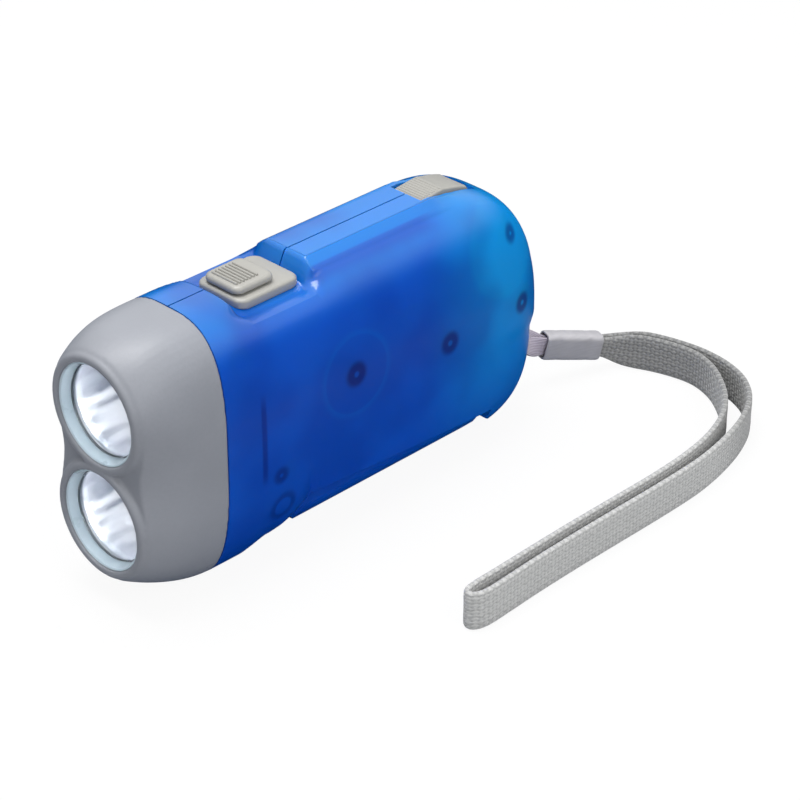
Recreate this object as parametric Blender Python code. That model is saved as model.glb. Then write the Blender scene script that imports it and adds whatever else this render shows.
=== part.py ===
"""Squeeze-lever dynamo torch with two lamps, as separate solids in metres.

+X runs from the lamps to the rear end, +Z is up and -Y is the near side.
The origin lies on the floor, under the middle of the body.
"""
import math

import bmesh
import bpy
from mathutils import Matrix, Vector

# Clearances: between pieces, round a sliding stem, and past the end of a cut
GAP = 0.0003
GRIP = 0.0006
CUT = 0.002

# Gear train: teeth, modules, thicknesses, and bearings of each axle from the one before
SECTOR_TEETH = 52
SECTOR_MODULE = 0.0009
SECTOR_BEARING = 49.8
SECTOR_BELOW = 1
SECTOR_ABOVE = 4
SECTOR_THICKNESS = 0.0024
SECTOR_START = 0.0010
SECTOR_WEB = 0.0013
SECTOR_RIM = 0.0030
DRIVE_PINION_TEETH = 12
DRIVE_TEETH = 30
DRIVE_MODULE = 0.0006
DRIVE_THICKNESS = 0.0020
IDLER_PINION_TEETH = 10
IDLER_TEETH = 24
IDLER_MODULE = 0.0005
IDLER_THICKNESS = 0.0017
IDLER_BEARING = -9.4
ROTOR_PINION_TEETH = 12
ROTOR_BEARING = 58.6
AXLE_RADIUS = 0.0011
TOOTH_BACKLASH_SHARE = 0.88

# Generator
MAGNET_RADIUS = 0.0086
MAGNET_BORE = 0.0062
MAGNET_WIDTH = 0.0028
PLATE_THICKNESS = 0.0007
POLE_RADIUS = 0.0062
YOKE_RADIUS = 0.0046
COIL_BEARING = 161
COIL_RADIUS = 0.0050
FLANGE_LIP = 0.0004
FLANGE_RADIUS = COIL_RADIUS + FLANGE_LIP
FLANGE_THICKNESS = 0.0005
CORE_RADIUS = 0.0016
RIVET_RADIUS = 0.0026
RIVET_HEAD = 0.0005
BOBBIN_WALL = 0.0007

# Layers of the gear train across the body
PINION_TOP = SECTOR_START + SECTOR_THICKNESS + GAP
DRIVE_LOW = -DRIVE_THICKNESS
IDLER_TOP = GAP
IDLER_WHEEL_HIGH = DRIVE_LOW - 2 * GAP
IDLER_LOW = IDLER_WHEEL_HIGH - IDLER_THICKNESS
INNER_PLATE_HIGH = IDLER_LOW - 2 * GAP
INNER_PLATE_LOW = INNER_PLATE_HIGH - PLATE_THICKNESS
MAGNET_HIGH = INNER_PLATE_LOW - GAP
MAGNET_LOW = MAGNET_HIGH - MAGNET_WIDTH
OUTER_PLATE_HIGH = MAGNET_LOW - GAP
OUTER_PLATE_LOW = OUTER_PLATE_HIGH - PLATE_THICKNESS
ROTOR_TOP = DRIVE_LOW - GAP

# Lamps
LAMP_LOW = 0.018
LAMP_BRIDGE = 0.0030
LAMP_DROP = 0.0154
MOUTH_RADIUS = 0.0100
LIP_WIDTH = 0.0017
LIP_RADIUS = MOUTH_RADIUS + LIP_WIDTH
LIP_ROUND = 0.0010
LIP_LENGTH = 0.004
FACE_BACK = 0.0013
FACE_SWELL = 0.0004
FACE_RADIUS = LIP_RADIUS + FACE_SWELL
FACE_BLEND = 0.0127
HEAD_SWELL_POWER = 3.0
SEAT_STEP = 0.0004
SEAT_RADIUS = MOUTH_RADIUS - SEAT_STEP
RECESS_DEPTH = 0.0034
LENS_THICKNESS = 0.0012
REFLECTOR_DEPTH = 0.0090
REFLECTOR_WALL = 0.0008
LED_RADIUS = 0.0025
LED_FLANGE = 0.0004
LED_BODY = 0.0050
LED_FOOT = 0.0009
BOARD_THICKNESS = 0.0016
LAMP_HEIGHTS = {"lower": LAMP_LOW, "upper": LAMP_LOW + 2 * MOUTH_RADIUS + LAMP_BRIDGE}

# Body sizes
BODY_LENGTH = 0.1111
HEAD_LENGTH = 0.019
BARREL_HEIGHT = LAMP_HEIGHTS["upper"] + LAMP_DROP
BELLY_SINK = 0.0004
SIDE_ROOM = 0.0055
SEAM_HALF_WIDTH = SIDE_ROOM - OUTER_PLATE_LOW
PALM_SWELL = 0.0002
PALM_HALF_WIDTH = SEAM_HALF_WIDTH + PALM_SWELL
PALM_WAVE_SHARE = 0.75
SPINE_SHARE = 0.507
SPINE_HEIGHT = BARREL_HEIGHT * SPINE_SHARE
ROUND_REACH = 0.0271
ROUND_BACK = BODY_LENGTH - ROUND_REACH
ROUND_SHARE = 0.443
ROUND_HEIGHT = BARREL_HEIGHT * ROUND_SHARE
SECTION_POWER = 3.0
REAR_TOP_POWER = 2.45
REAR_BOTTOM_POWER = 3.3
WALL = 0.0018
CAVITY_LAP = 0.008
CAVITY_START = HEAD_LENGTH - CAVITY_LAP
SPIGOT_LENGTH = 0.0022
SPIGOT_WALL = 0.0014

# Switch knob, and the shelf that it slides over
KNOB_INSET = 0.0011
KNOB_LENGTH = 0.0100
KNOB_HALF_WIDTH = 0.0049
KNOB_HEIGHT = 0.0016
KNOB_ROUND = 0.0016
KNOB_STEM = 0.0022
KNOB_STEM_HALF_WIDTH = 0.0012
KNOB_TRAVEL = 0.0040
RIB_COUNT = 7
RIB_HEIGHT = 0.0003
COLLAR_LENGTH = 0.0087
COLLAR_END = HEAD_LENGTH + COLLAR_LENGTH
SHELF_SLOPE = 0.0025
SHELF_DEPTH = 0.0032
SHELF_START = COLLAR_END + SHELF_SLOPE
SHELF_END = SHELF_START + KNOB_INSET + KNOB_LENGTH + KNOB_TRAVEL + 3 * GAP
SHELF_HEIGHT = BARREL_HEIGHT - SHELF_DEPTH
BEZEL_START = SHELF_START + GAP
BEZEL_END = SHELF_END - GAP
BEZEL_MARGIN = 0.0016
BEZEL_HALF_WIDTH = KNOB_HALF_WIDTH + BEZEL_MARGIN
BEZEL_THICKNESS = 0.0013
BEZEL_ROUND = 0.0022
KNOB_START = BEZEL_START + KNOB_INSET
KNOB_END = KNOB_START + KNOB_LENGTH
STEM_START = (KNOB_START + KNOB_END - KNOB_STEM) / 2
STEM_WAY_START = STEM_START - GRIP
STEM_WAY_END = STEM_START + KNOB_STEM + KNOB_TRAVEL + GRIP
CAN_WALL = 0.0014
CAN_HEIGHT = 0.0056
CAN_WELL = CAN_HEIGHT / 2

# Lever, its pivot and the slot that it swings in
PIVOT_LAP = 0.0145
PIVOT_BACK = HEAD_LENGTH + PIVOT_LAP
PIVOT_HEIGHT = 0.0125
PIVOT = (PIVOT_BACK, PIVOT_HEIGHT)
PIVOT_PIN_RADIUS = 0.0015
PIVOT_BOSS_RADIUS = 0.0040
CHEEK_LIFT = 0.0011
CHEEK_RADIUS = PIVOT_HEIGHT - CHEEK_LIFT
CHEEK_RUN = 0.0075
CHEEK_START = PIVOT_BACK - CHEEK_RUN
SLOT_RADIUS = 0.0075
SLOT_LAND = 0.0001
SLOT_FRONT_DROP = 0.0003
SLOT_LOW_ANGLE = -75
SLOT_FRONT_SLOPE = 0.0014
SLOT_REAR_HEIGHT = 0.0082
FOOT_LENGTH = 0.0183
FOOT_RISE = 0.0055
FOOT_RUN = 0.0075
LEVER_END = BODY_LENGTH - FOOT_LENGTH
LEVER_TAIL_RADIUS = LEVER_END - PIVOT_BACK
LEVER_INSET = 0.0052
LEVER_HALF_WIDTH = SEAM_HALF_WIDTH - LEVER_INSET
LEVER_WALL = 0.0014
LEVER_BOTTOM = 0.0022
LEVER_EDGE_ROUND = 0.0045
LEVER_TAIL_HEIGHT = 0.0265
LEVER_HUB_RADIUS = 0.0046
LEVER_HEEL = 0.0034
TAIL_RUN = 0.0100
TAIL_RISE = 0.0026
LEDGE_ANGLE = 15
SECTOR_DISC_RADIUS = LEVER_HUB_RADIUS + GAP + SECTOR_WEB

# Lock, the latch bar under it, and the raised back ahead of it
LOCK_FRONT = 0.0077
LOCK_LENGTH = 0.0133
LOCK_HALF_WIDTH = 0.0039
LOCK_SINK = 0.0006
LOCK_PROUD = 0.0007
LOCK_TRAVEL = 0.0020
LOCK_STEM = 0.0020
LOCK_STEM_HALF_WIDTH = 0.0014
LOCK_STEM_DROP = 0.0060
LOCK_STEM_END = BARREL_HEIGHT - LOCK_STEM_DROP
LOCK_RIB_COUNT = 6
LATCH_THICKNESS = 0.0015
LATCH_HALF_WIDTH = 0.0025
LATCH_ARM = 0.0056
LATCH_REACH = 0.0018
LATCH_NOSE = 0.0022
WINDOW_DROP = 0.0050
WINDOW_ROOM = 0.0007
LATCH_NOSE_HEIGHT = LEVER_TAIL_HEIGHT - WINDOW_DROP
LATCH_LEG_START = LEVER_END + LATCH_REACH
LATCH_LEG_END = LATCH_LEG_START + LATCH_THICKNESS
LOCK_STEM_START = LATCH_LEG_START - LATCH_ARM
LOCK_START = LOCK_STEM_START - LOCK_FRONT
LOCK_END = LOCK_START + LOCK_LENGTH
BACK_SLOPE = 0.0021
BACK_RISE = 0.0008
BACK_LAP = 0.0016
BACK_FADE_RUN = 0.0045
BACK_START = SHELF_END + BACK_SLOPE
BACK_END = LOCK_START + BACK_LAP
BACK_FADE = BACK_END + BACK_FADE_RUN
BACK_HEIGHT = BARREL_HEIGHT + BACK_RISE
BACK_HALF_WIDTH = 0.0078

# Cells, their holder and tabs
CELL_RADIUS = 0.0058
CELL_THICKNESS = 0.0052
CELL_COUNT = 3
CELL_SPAN = CELL_COUNT * (CELL_THICKNESS + GAP) - GAP
HOLDER_BASE = 0.0044
HOLDER_FRONT = 0.0046
HOLDER_WALL = 0.0008
HOLDER_ROOM = 0.0006
TAB_THICKNESS = 0.0004
TAB_RADIUS = 0.0035
HOLDER_END = PIVOT_BACK - HOLDER_ROOM
CELL_BACK = HOLDER_END - HOLDER_WALL - GAP - CELL_RADIUS
HOLDER_BOTTOM = PIVOT_HEIGHT + SECTOR_DISC_RADIUS + 2 * GAP
CELL_HEIGHT = HOLDER_BOTTOM + HOLDER_BASE + GAP + CELL_RADIUS
HOLDER_TOP = CELL_HEIGHT + CELL_RADIUS + GAP
HOLDER_HALF_WIDTH = CELL_SPAN / 2 + 2 * GAP + TAB_THICKNESS

# Torsion spring of the lever, and the post that holds one leg
SPRING_WIRE = 0.0008
SPRING_ROOM = 0.0005
SPRING_RADIUS = LEVER_HUB_RADIUS + SPRING_ROOM + SPRING_WIRE / 2
SPRING_TURNS = 3
SPRING_PITCH = 0.0013
SPRING_START = -0.0040
SPRING_POST_ANGLE = 8
SPRING_LEVER_ANGLE = 80
SPRING_POST_LEG = 0.0092
SPRING_LEVER_LEG = 0.0064
POST_RADIUS = 0.0019
POST_BEARING = 78
POST_REACH = 0.0030

# Screws and the bosses that they draw together
BOSS_RADIUS = 0.0026
HEAD_BOSS_RADIUS = 0.0032
AXLE_BOSS_RADIUS = 0.0024
SCREW_RADIUS = 0.00095
SCREW_HEAD_RADIUS = 0.0021
SCREW_HEAD_HEIGHT = 0.0015
SCREW_LENGTH = 0.0145
SCREW_SINK = 0.0036
SCREW_ROOM = 0.0006
SCREW_DROP = 0.0097
SCREW_BEARING = -45
MAGNET_ROOM = 0.0014
SCREW_HEIGHT = 0.0308

# Lanyard pin, ferrule and strap
PIN_INSET = 0.0055
PIN_BACK = BODY_LENGTH - PIN_INSET
PIN_HEIGHT = 0.0140
PIN_RADIUS = 0.0011
PIN_BOSS_RADIUS = 0.0022
PIN_BOSS_INSET = 0.0020
EYE_HALF_WIDTH = 0.0036
EYE_HALF_HEIGHT = 0.0036
FERRULE_FRONT = (0.0079, -0.0038, 0.0090)
FERRULE_REAR = (0.0205, -0.0084, 0.0057)
FERRULE_HALF_THICKNESS = 0.0021
FERRULE_HALF_HEIGHT = 0.0030
FERRULE_WALL = 0.0004
STRAP_WIDTH = 0.0083
STRAP_END_WIDTH = 0.0042
STRAP_THICKNESS = 0.0012
TIE_WIDTH = 0.0042
TIE_THICKNESS = 0.0008

# Free route of the strap, from the ferrule round its loop and back: behind the rear end, side, height
STRAP_ROUTE = (
    (0.0184, -0.00690, 0.0063), (0.0208, -0.00765, 0.0057), (0.0236, -0.0093, 0.0050),
    (0.0265, -0.0122, 0.0044), (0.0291, -0.0166, 0.0043), (0.0308, -0.0225, 0.0043),
    (0.0316, -0.0290, 0.0043), (0.0308, -0.0360, 0.0043), (0.0281, -0.0425, 0.0043),
    (0.0232, -0.0477, 0.0043), (0.0161, -0.0515, 0.0043), (0.0074, -0.0541, 0.0043),
    (-0.0026, -0.0557, 0.0043), (-0.0141, -0.0561, 0.0043), (-0.0271, -0.0561, 0.0043),
    (-0.0391, -0.0561, 0.0043), (-0.0511, -0.0563, 0.0043), (-0.0601, -0.0567, 0.0043),
    (-0.0660, -0.0568, 0.0043), (-0.0687, -0.0558, 0.0043), (-0.0686, -0.0541, 0.0043),
    (-0.0659, -0.0535, 0.0043), (-0.0601, -0.0534, 0.0043), (-0.0511, -0.0532, 0.0043),
    (-0.0391, -0.0530, 0.0043), (-0.0271, -0.0530, 0.0043), (-0.0141, -0.0530, 0.0043),
    (-0.0031, -0.0524, 0.0043), (0.0062, -0.0508, 0.0043), (0.0142, -0.0478, 0.0043),
    (0.0202, -0.0437, 0.0043), (0.0247, -0.0388, 0.0043), (0.0280, -0.0336, 0.0043),
    (0.0296, -0.0280, 0.0043), (0.0291, -0.0225, 0.0043), (0.0273, -0.0168, 0.0043),
    (0.0248, -0.0127, 0.0044), (0.0225, -0.0104, 0.0050), (0.0202, -0.00915, 0.0057),
    (0.0179, -0.00840, 0.0063),
)
STRAP_STEPS = 2
TIE_STEPS = 2

# Route of the tie loop round the lanyard pin: behind the rear end, side, height, turn from upright
TIE_ROUTE = (
    (0.0104, -0.0040, 0.0084, 0), (0.0076, -0.0029, 0.0091, 0), (0.0049, -0.0023, 0.0112, 35),
    (0.0017, -0.0016, 0.0136, 70), (-0.0019, -0.0010, 0.0153, 90), (-0.0051, -0.0008, 0.0159, 90),
    (-0.0068, -0.0008, 0.0153, 90), (-0.0074, -0.0008, 0.0140, 90), (-0.0068, -0.0008, 0.0127, 90),
    (-0.0051, -0.0008, 0.0121, 90), (-0.0019, -0.0010, 0.0121, 90), (0.0017, -0.0022, 0.0110, 110),
    (0.0049, -0.0034, 0.0096, 145), (0.0074, -0.0043, 0.0091, 180), (0.0100, -0.0054, 0.0084, 180),
)

# Routes of the coil leads to the lamp board: behind the lips, side, height
LEAD_RADIUS = 0.0005
LEAD_STEPS = 3
RED_LEAD_ROUTE = (
    (0.0492, -0.0080, 0.0481), (0.0464, -0.0079, 0.0466), (0.0420, -0.0084, 0.0442),
    (0.0350, -0.0088, 0.0420), (0.0280, -0.0080, 0.0398), (0.0215, -0.0066, 0.0385),
    (0.0180, -0.0060, 0.0380),
)
BLACK_LEAD_ROUTE = (
    (0.0483, -0.0066, 0.0450), (0.0456, -0.0064, 0.0436), (0.0410, -0.0062, 0.0418),
    (0.0350, -0.0066, 0.0398), (0.0280, -0.0058, 0.0378), (0.0215, -0.0040, 0.0365),
    (0.0180, -0.0034, 0.0360),
)

BLUE = (0.0, 0.11, 0.62, 0.6)
GREY = (0.31, 0.31, 0.33, 1.0)
SAND = (0.58, 0.56, 0.50, 1.0)
STEEL = (0.60, 0.60, 0.62, 1.0)
CHROME = (0.90, 0.90, 0.92, 1.0)
CLEAR = (0.92, 0.95, 1.0, 0.3)
WHITE = (0.85, 0.85, 0.82, 1.0)
COPPER = (0.72, 0.31, 0.14, 1.0)
MAGNET = (0.07, 0.07, 0.08, 1.0)
BOARD = (0.03, 0.18, 0.08, 1.0)
BLACK = (0.03, 0.03, 0.03, 1.0)
RED = (0.5, 0.02, 0.02, 1.0)
WEBBING = (0.42, 0.42, 0.42, 1.0)
SATIN = (0.52, 0.49, 0.56, 1.0)


def finish(name, colour, roughness=0.45, metallic=0.0):
    """A Principled finish of its own for one piece."""
    material = bpy.data.materials.new(name)
    material.use_nodes = True
    shader = material.node_tree.nodes["Principled BSDF"]
    shader.inputs["Base Color"].default_value = colour
    shader.inputs["Alpha"].default_value = colour[3]
    shader.inputs["Roughness"].default_value = roughness
    shader.inputs["Metallic"].default_value = metallic
    return material


def add(name, shape, colour=GREY, roughness=0.45, metallic=0.0):
    """Links a bmesh as a named object, smooth where it is round."""
    bmesh.ops.recalc_face_normals(shape, faces=shape.faces)
    mesh = bpy.data.meshes.new(name)
    shape.to_mesh(mesh)
    shape.free()
    mesh.shade_smooth()
    mesh.set_sharp_from_angle(angle=math.radians(35))
    piece = bpy.data.objects.new(name, mesh)
    bpy.context.scene.collection.objects.link(piece)
    mesh.materials.append(finish(name, colour, roughness, metallic))
    return piece


def combine(piece, operation, *tools):
    """Applies boolean tools to a piece and removes them."""
    for shape in tools:
        tool = add("tool", shape)
        change = piece.modifiers.new("Boolean", "BOOLEAN")
        change.operation = operation
        change.solver = "EXACT"
        change.object = tool
        bpy.context.view_layer.update()
        graph = bpy.context.evaluated_depsgraph_get()
        mesh = bpy.data.meshes.new_from_object(piece.evaluated_get(graph))
        piece.modifiers.clear()
        piece.data = mesh
        bpy.data.objects.remove(tool)
    piece.data.shade_smooth()
    piece.data.set_sharp_from_angle(angle=math.radians(35))
    keep = piece.data.materials[0]
    piece.data.materials.clear()
    piece.data.materials.append(keep)
    for face in piece.data.polygons:
        face.material_index = 0
    return piece


def cut(piece, *tools):
    return combine(piece, "DIFFERENCE", *tools)


def join(piece, *tools):
    return combine(piece, "UNION", *tools)


def keep(piece, *tools):
    return combine(piece, "INTERSECT", *tools)


def at(back):
    """World X of a distance behind the lamp lips."""
    return back - BODY_LENGTH / 2


def arc(centre, radius, start, end, steps):
    """Points on an arc in the side view, angles in degrees from +X towards +Z."""
    points = []
    for index in range(steps + 1):
        angle = math.radians(start + (end - start) * index / steps)
        points.append((centre[0] + radius * math.cos(angle), centre[1] + radius * math.sin(angle)))
    return points


def prism(outline, low, high):
    """Side-view outline (back, height) extruded from side low to side high."""
    shape = bmesh.new()
    near = [shape.verts.new((at(back), low, height)) for back, height in outline]
    far = [shape.verts.new((at(back), high, height)) for back, height in outline]
    shape.faces.new(near)
    shape.faces.new(reversed(far))
    count = len(outline)
    for index in range(count):
        after = (index + 1) % count
        shape.faces.new((near[index], far[index], far[after], near[after]))
    return shape


def box(start, end, low, high, bottom, top):
    return prism(((start, bottom), (end, bottom), (end, top), (start, top)), low, high)


def loft(rings):
    """Closed solid through rings of equal count, capped at both ends."""
    shape = bmesh.new()
    loops = [[shape.verts.new(point) for point in ring] for ring in rings]
    count = len(rings[0])
    for here, after in zip(loops, loops[1:]):
        for index in range(count):
            follow = (index + 1) % count
            shape.faces.new((here[index], here[follow], after[follow], after[index]))
    shape.faces.new(reversed(loops[0]))
    shape.faces.new(loops[-1])
    return shape


def turned(profile, place, segments, hollow=False):
    """Revolves (along, radius) points about local Z; hollow profiles are closed loops."""
    shape = bmesh.new()
    loops = []
    for along, radius in profile:
        if radius == 0:
            loops.append([shape.verts.new(place @ Vector((0, 0, along)))])
            continue
        loop = []
        for index in range(segments):
            angle = 2 * math.pi * index / segments
            point = Vector((radius * math.cos(angle), radius * math.sin(angle), along))
            loop.append(shape.verts.new(place @ point))
        loops.append(loop)
    pairs = list(zip(loops, loops[1:]))
    if hollow:
        pairs.append((loops[-1], loops[0]))
    for here, after in pairs:
        for index in range(segments):
            follow = (index + 1) % segments
            corners = [here[index % len(here)], here[follow % len(here)],
                       after[follow % len(after)], after[index % len(after)]]
            corners = list(dict.fromkeys(corners))
            if len(corners) > 2:
                shape.faces.new(corners)
    if not hollow:
        for loop in (loops[0], loops[-1]):
            if len(loop) > 1:
                shape.faces.new(loop)
    return shape


def along_y(back, height):
    """Frame whose local Z is world +Y at a place in the side view."""
    return Matrix.Translation((at(back), 0, height)) @ Matrix.Rotation(-math.pi / 2, 4, "X")


def along_x(height):
    """Frame whose local Z is world +X, on the lamp axis of a height."""
    return Matrix.Translation((at(0), 0, height)) @ Matrix.Rotation(math.pi / 2, 4, "Y")


def rod(back, height, radius, low, high, segments=24):
    """Solid cylinder along Y."""
    return turned(((low, radius), (high, radius)), along_y(back, height), segments)


def spine_height(back):
    share = min(max((back - HEAD_LENGTH) / (ROUND_BACK - HEAD_LENGTH), 0), 1)
    return SPINE_HEIGHT + (ROUND_HEIGHT - SPINE_HEIGHT) * share


def half_width(back):
    share = min(max((back - HEAD_LENGTH) / (ROUND_BACK - HEAD_LENGTH), 0), 1)
    return SEAM_HALF_WIDTH + (PALM_HALF_WIDTH - SEAM_HALF_WIDTH) * math.sin(math.pi * PALM_WAVE_SHARE * share)


def belly_height(back):
    """Lower outline of the body, which rises round the lever's pivot."""
    cheek_low = PIVOT_HEIGHT - CHEEK_RADIUS
    cheek_end = PIVOT_BACK + CHEEK_RADIUS * math.sin(math.radians(45))
    if back < CHEEK_START or back > cheek_end:
        return -BELLY_SINK
    if back < PIVOT_BACK:
        share = (back - CHEEK_START) / (PIVOT_BACK - CHEEK_START)
        return -BELLY_SINK + (cheek_low + BELLY_SINK) * share * share * (3 - 2 * share)
    return PIVOT_HEIGHT - math.sqrt(CHEEK_RADIUS ** 2 - (back - PIVOT_BACK) ** 2)


def outline_rays(inset, start, straight=10, turn=18):
    """Points of the side outline, each with the spine point and half width of its section."""
    rays = []
    cheek_end = PIVOT_BACK + CHEEK_RADIUS * math.sin(math.radians(45))
    marks = [start + (ROUND_BACK - start) * index / straight for index in range(straight)]
    top = BARREL_HEIGHT - inset
    for back in marks:
        rays.append((back, top, back, spine_height(back), half_width(back) - inset))
    reach = ROUND_REACH - inset
    for index in range(turn + 1):
        angle = math.pi / 2 - math.pi * index / turn
        power = REAR_TOP_POWER if angle >= 0 else REAR_BOTTOM_POWER
        drop = top - ROUND_HEIGHT if angle >= 0 else ROUND_HEIGHT + BELLY_SINK - inset
        across = reach * abs(math.cos(angle)) ** (2 / power)
        rise = drop * abs(math.sin(angle)) ** (2 / power)
        rise = math.copysign(rise, angle)
        rays.append((ROUND_BACK + across, ROUND_HEIGHT + rise, ROUND_BACK, ROUND_HEIGHT,
                     half_width(ROUND_BACK) - inset))
    lower = [mark for mark in marks if mark < CHEEK_START]
    lower += [CHEEK_START + (cheek_end - CHEEK_START) * index / 8 for index in range(9)]
    lower += [mark for mark in marks if mark > cheek_end + CUT / 2]
    for back in reversed(lower):
        rays.append((back, belly_height(back) + inset, back, spine_height(back), half_width(back) - inset))
    return rays


def barrel(inset, start, across=7):
    """Closed solid of the body, drawn in by inset and open to nothing."""
    shape = bmesh.new()
    rays = outline_rays(inset, start)
    rows = []
    for back, height, spine_back, spine_up, width in rays:
        row = []
        for index in range(-across, across + 1):
            angle = math.pi / 2 * index / across
            ease = abs(math.cos(angle)) ** (2 / SECTION_POWER) if abs(index) < across else 0
            side = math.copysign(abs(math.sin(angle)) ** (2 / SECTION_POWER), index) * width
            point = (at(spine_back + (back - spine_back) * ease), side,
                     spine_up + (height - spine_up) * ease)
            row.append(shape.verts.new(point))
        rows.append(row)
    for here, after in zip(rows, rows[1:]):
        for index in range(2 * across):
            shape.faces.new((here[index], here[index + 1], after[index + 1], after[index]))
    bmesh.ops.remove_doubles(shape, verts=shape.verts, dist=GAP / 300)
    bmesh.ops.dissolve_degenerate(shape, edges=shape.edges, dist=GAP / 300)
    rim = [edge for edge in shape.edges if edge.is_boundary]
    bmesh.ops.holes_fill(shape, edges=rim, sides=len(rim))
    return shape


def side_reach(back, height, inset=0.0):
    """Half thickness of the barrel at a place in the side view."""
    if back <= ROUND_BACK:
        spine = spine_height(back)
        limit = BARREL_HEIGHT - inset - spine if height >= spine else spine + BELLY_SINK - inset
        ratio = abs(height - spine) / limit
        width = half_width(back) - inset
    else:
        above = height >= ROUND_HEIGHT
        power = REAR_TOP_POWER if above else REAR_BOTTOM_POWER
        drop = BARREL_HEIGHT - inset - ROUND_HEIGHT if above else ROUND_HEIGHT + BELLY_SINK - inset
        reach = ROUND_REACH - inset
        across = (back - ROUND_BACK) / reach
        rise = abs(height - ROUND_HEIGHT) / drop
        ratio = (across ** power + rise ** power) ** (1 / power)
        width = half_width(ROUND_BACK) - inset
    return width * max(1 - ratio ** SECTION_POWER, 0) ** (1 / SECTION_POWER)


def crown_height(back, raise_by=0.0):
    """Top outline of the barrel at a distance back."""
    if back <= ROUND_BACK:
        return BARREL_HEIGHT + raise_by
    across = (back - ROUND_BACK) / ROUND_REACH
    rise = (1 - across ** REAR_TOP_POWER) ** (1 / REAR_TOP_POWER)
    return ROUND_HEIGHT + (BARREL_HEIGHT - ROUND_HEIGHT) * rise + raise_by


def section_ring(back, inset, count=28):
    """Ring of the barrel's section at the seam, drawn in by inset, placed at back."""
    ring = []
    middle = spine_height(HEAD_LENGTH)
    for index in range(count):
        angle = 2 * math.pi * index / count
        side = math.copysign(abs(math.cos(angle)) ** (2 / SECTION_POWER), math.cos(angle))
        rise = math.copysign(abs(math.sin(angle)) ** (2 / SECTION_POWER), math.sin(angle))
        tall = BARREL_HEIGHT - inset - middle if rise >= 0 else middle + BELLY_SINK - inset
        ring.append(Vector((at(back), side * (SEAM_HALF_WIDTH - inset), middle + rise * tall)))
    return ring


def shelf_cutter(inset):
    """Prism above the switch shelf and its sloping ends."""
    high = BACK_HEIGHT + CUT
    front_run = (SHELF_START - COLLAR_END) / (BARREL_HEIGHT - SHELF_HEIGHT)
    rear_run = (BACK_START - SHELF_END) / (BACK_HEIGHT - SHELF_HEIGHT)
    low = SHELF_HEIGHT - inset
    outline = ((COLLAR_END - inset - front_run * (high - BARREL_HEIGHT), high),
               (SHELF_START - inset, low), (SHELF_END + inset, low),
               (BACK_START + inset + rear_run * (high - BACK_HEIGHT), high))
    return prism(outline, -PALM_HALF_WIDTH - CUT, PALM_HALF_WIDTH + CUT)


def back_block(inset):
    """Raised flat back between the switch and the lock."""
    low = SHELF_HEIGHT - LATCH_THICKNESS - WALL
    top = BACK_HEIGHT - inset
    outline = ((SHELF_END + inset, low), (SHELF_END + inset, SHELF_HEIGHT - inset),
               (BACK_START + inset, top), (BACK_END - inset, top),
               (BACK_FADE - inset, crown_height(BACK_FADE) - inset), (BACK_FADE - inset, low))
    return prism(outline, -BACK_HALF_WIDTH + inset, BACK_HALF_WIDTH - inset)


def body_solid(inset, start):
    """Outer or inner form of the whole body."""
    piece = add("form", barrel(inset, start))
    cut(piece, shelf_cutter(inset))
    join(piece, back_block(inset))
    return piece


def floor_cutter():
    return box(-CUT, BODY_LENGTH + CUT, -PALM_HALF_WIDTH - CUT, PALM_HALF_WIDTH + CUT,
               -BELLY_SINK - CUT, 0)


def slot_cutter():
    """Side-view opening in which the lever swings."""
    tail = LEVER_TAIL_RADIUS + GAP + SLOT_LAND
    front_end = -math.degrees(math.asin(SLOT_FRONT_DROP / (SLOT_RADIUS + SLOT_LAND)))
    rear_start = math.degrees(math.asin((SLOT_REAR_HEIGHT - PIVOT_HEIGHT) / tail))
    rear_end = math.degrees(math.asin((FOOT_RISE - PIVOT_HEIGHT) / tail))
    outline = arc(PIVOT, SLOT_RADIUS + SLOT_LAND, SLOT_LOW_ANGLE, front_end, 9)
    outline += arc(PIVOT, tail, rear_start, rear_end, 3)
    outline.append((outline[-1][0] + FOOT_RUN * (FOOT_RISE + CUT) / FOOT_RISE, -CUT))
    outline.append((outline[0][0] + SLOT_FRONT_SLOPE, -CUT))
    return prism(outline, -PALM_HALF_WIDTH - CUT, PALM_HALF_WIDTH + CUT)


def gear_outline(centre, teeth, module, phase, span=None):
    """Tooth outline in the side view; phase is the angle of one tooth in degrees."""
    pitch = 360 / teeth
    radius = teeth * module / 2
    tip = radius + module * TOOTH_BACKLASH_SHARE
    root = radius - module * 1.2
    points = []
    first, last = span if span else (0, teeth - 1)
    for number in range(first, last + 1):
        middle = phase + number * pitch
        for share, reach in ((-0.29, root), (-0.12, tip), (0.12, tip), (0.29, root)):
            angle = math.radians(middle + share * pitch * TOOTH_BACKLASH_SHARE)
            points.append((centre[0] + reach * math.cos(angle), centre[1] + reach * math.sin(angle)))
    return points


def step_from(centre, bearing, distance):
    angle = math.radians(bearing)
    return centre[0] + distance * math.cos(angle), centre[1] + distance * math.sin(angle)


def mesh_phase(bearing, teeth):
    """Phase of a gear that meets, with a gap, a tooth lying on the line of centres."""
    return bearing + 180 + 180 / teeth


# Axles of the gear train, from the tooth counts
DRIVE = step_from(PIVOT, SECTOR_BEARING, SECTOR_MODULE * (SECTOR_TEETH + DRIVE_PINION_TEETH) / 2)
IDLER = step_from(DRIVE, IDLER_BEARING, DRIVE_MODULE * (DRIVE_TEETH + IDLER_PINION_TEETH) / 2)
ROTOR = step_from(IDLER, ROTOR_BEARING, IDLER_MODULE * (IDLER_TEETH + ROTOR_PINION_TEETH) / 2)
COIL = step_from(ROTOR, COIL_BEARING, MAGNET_RADIUS + FLANGE_RADIUS + 2 * GAP)

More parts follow.
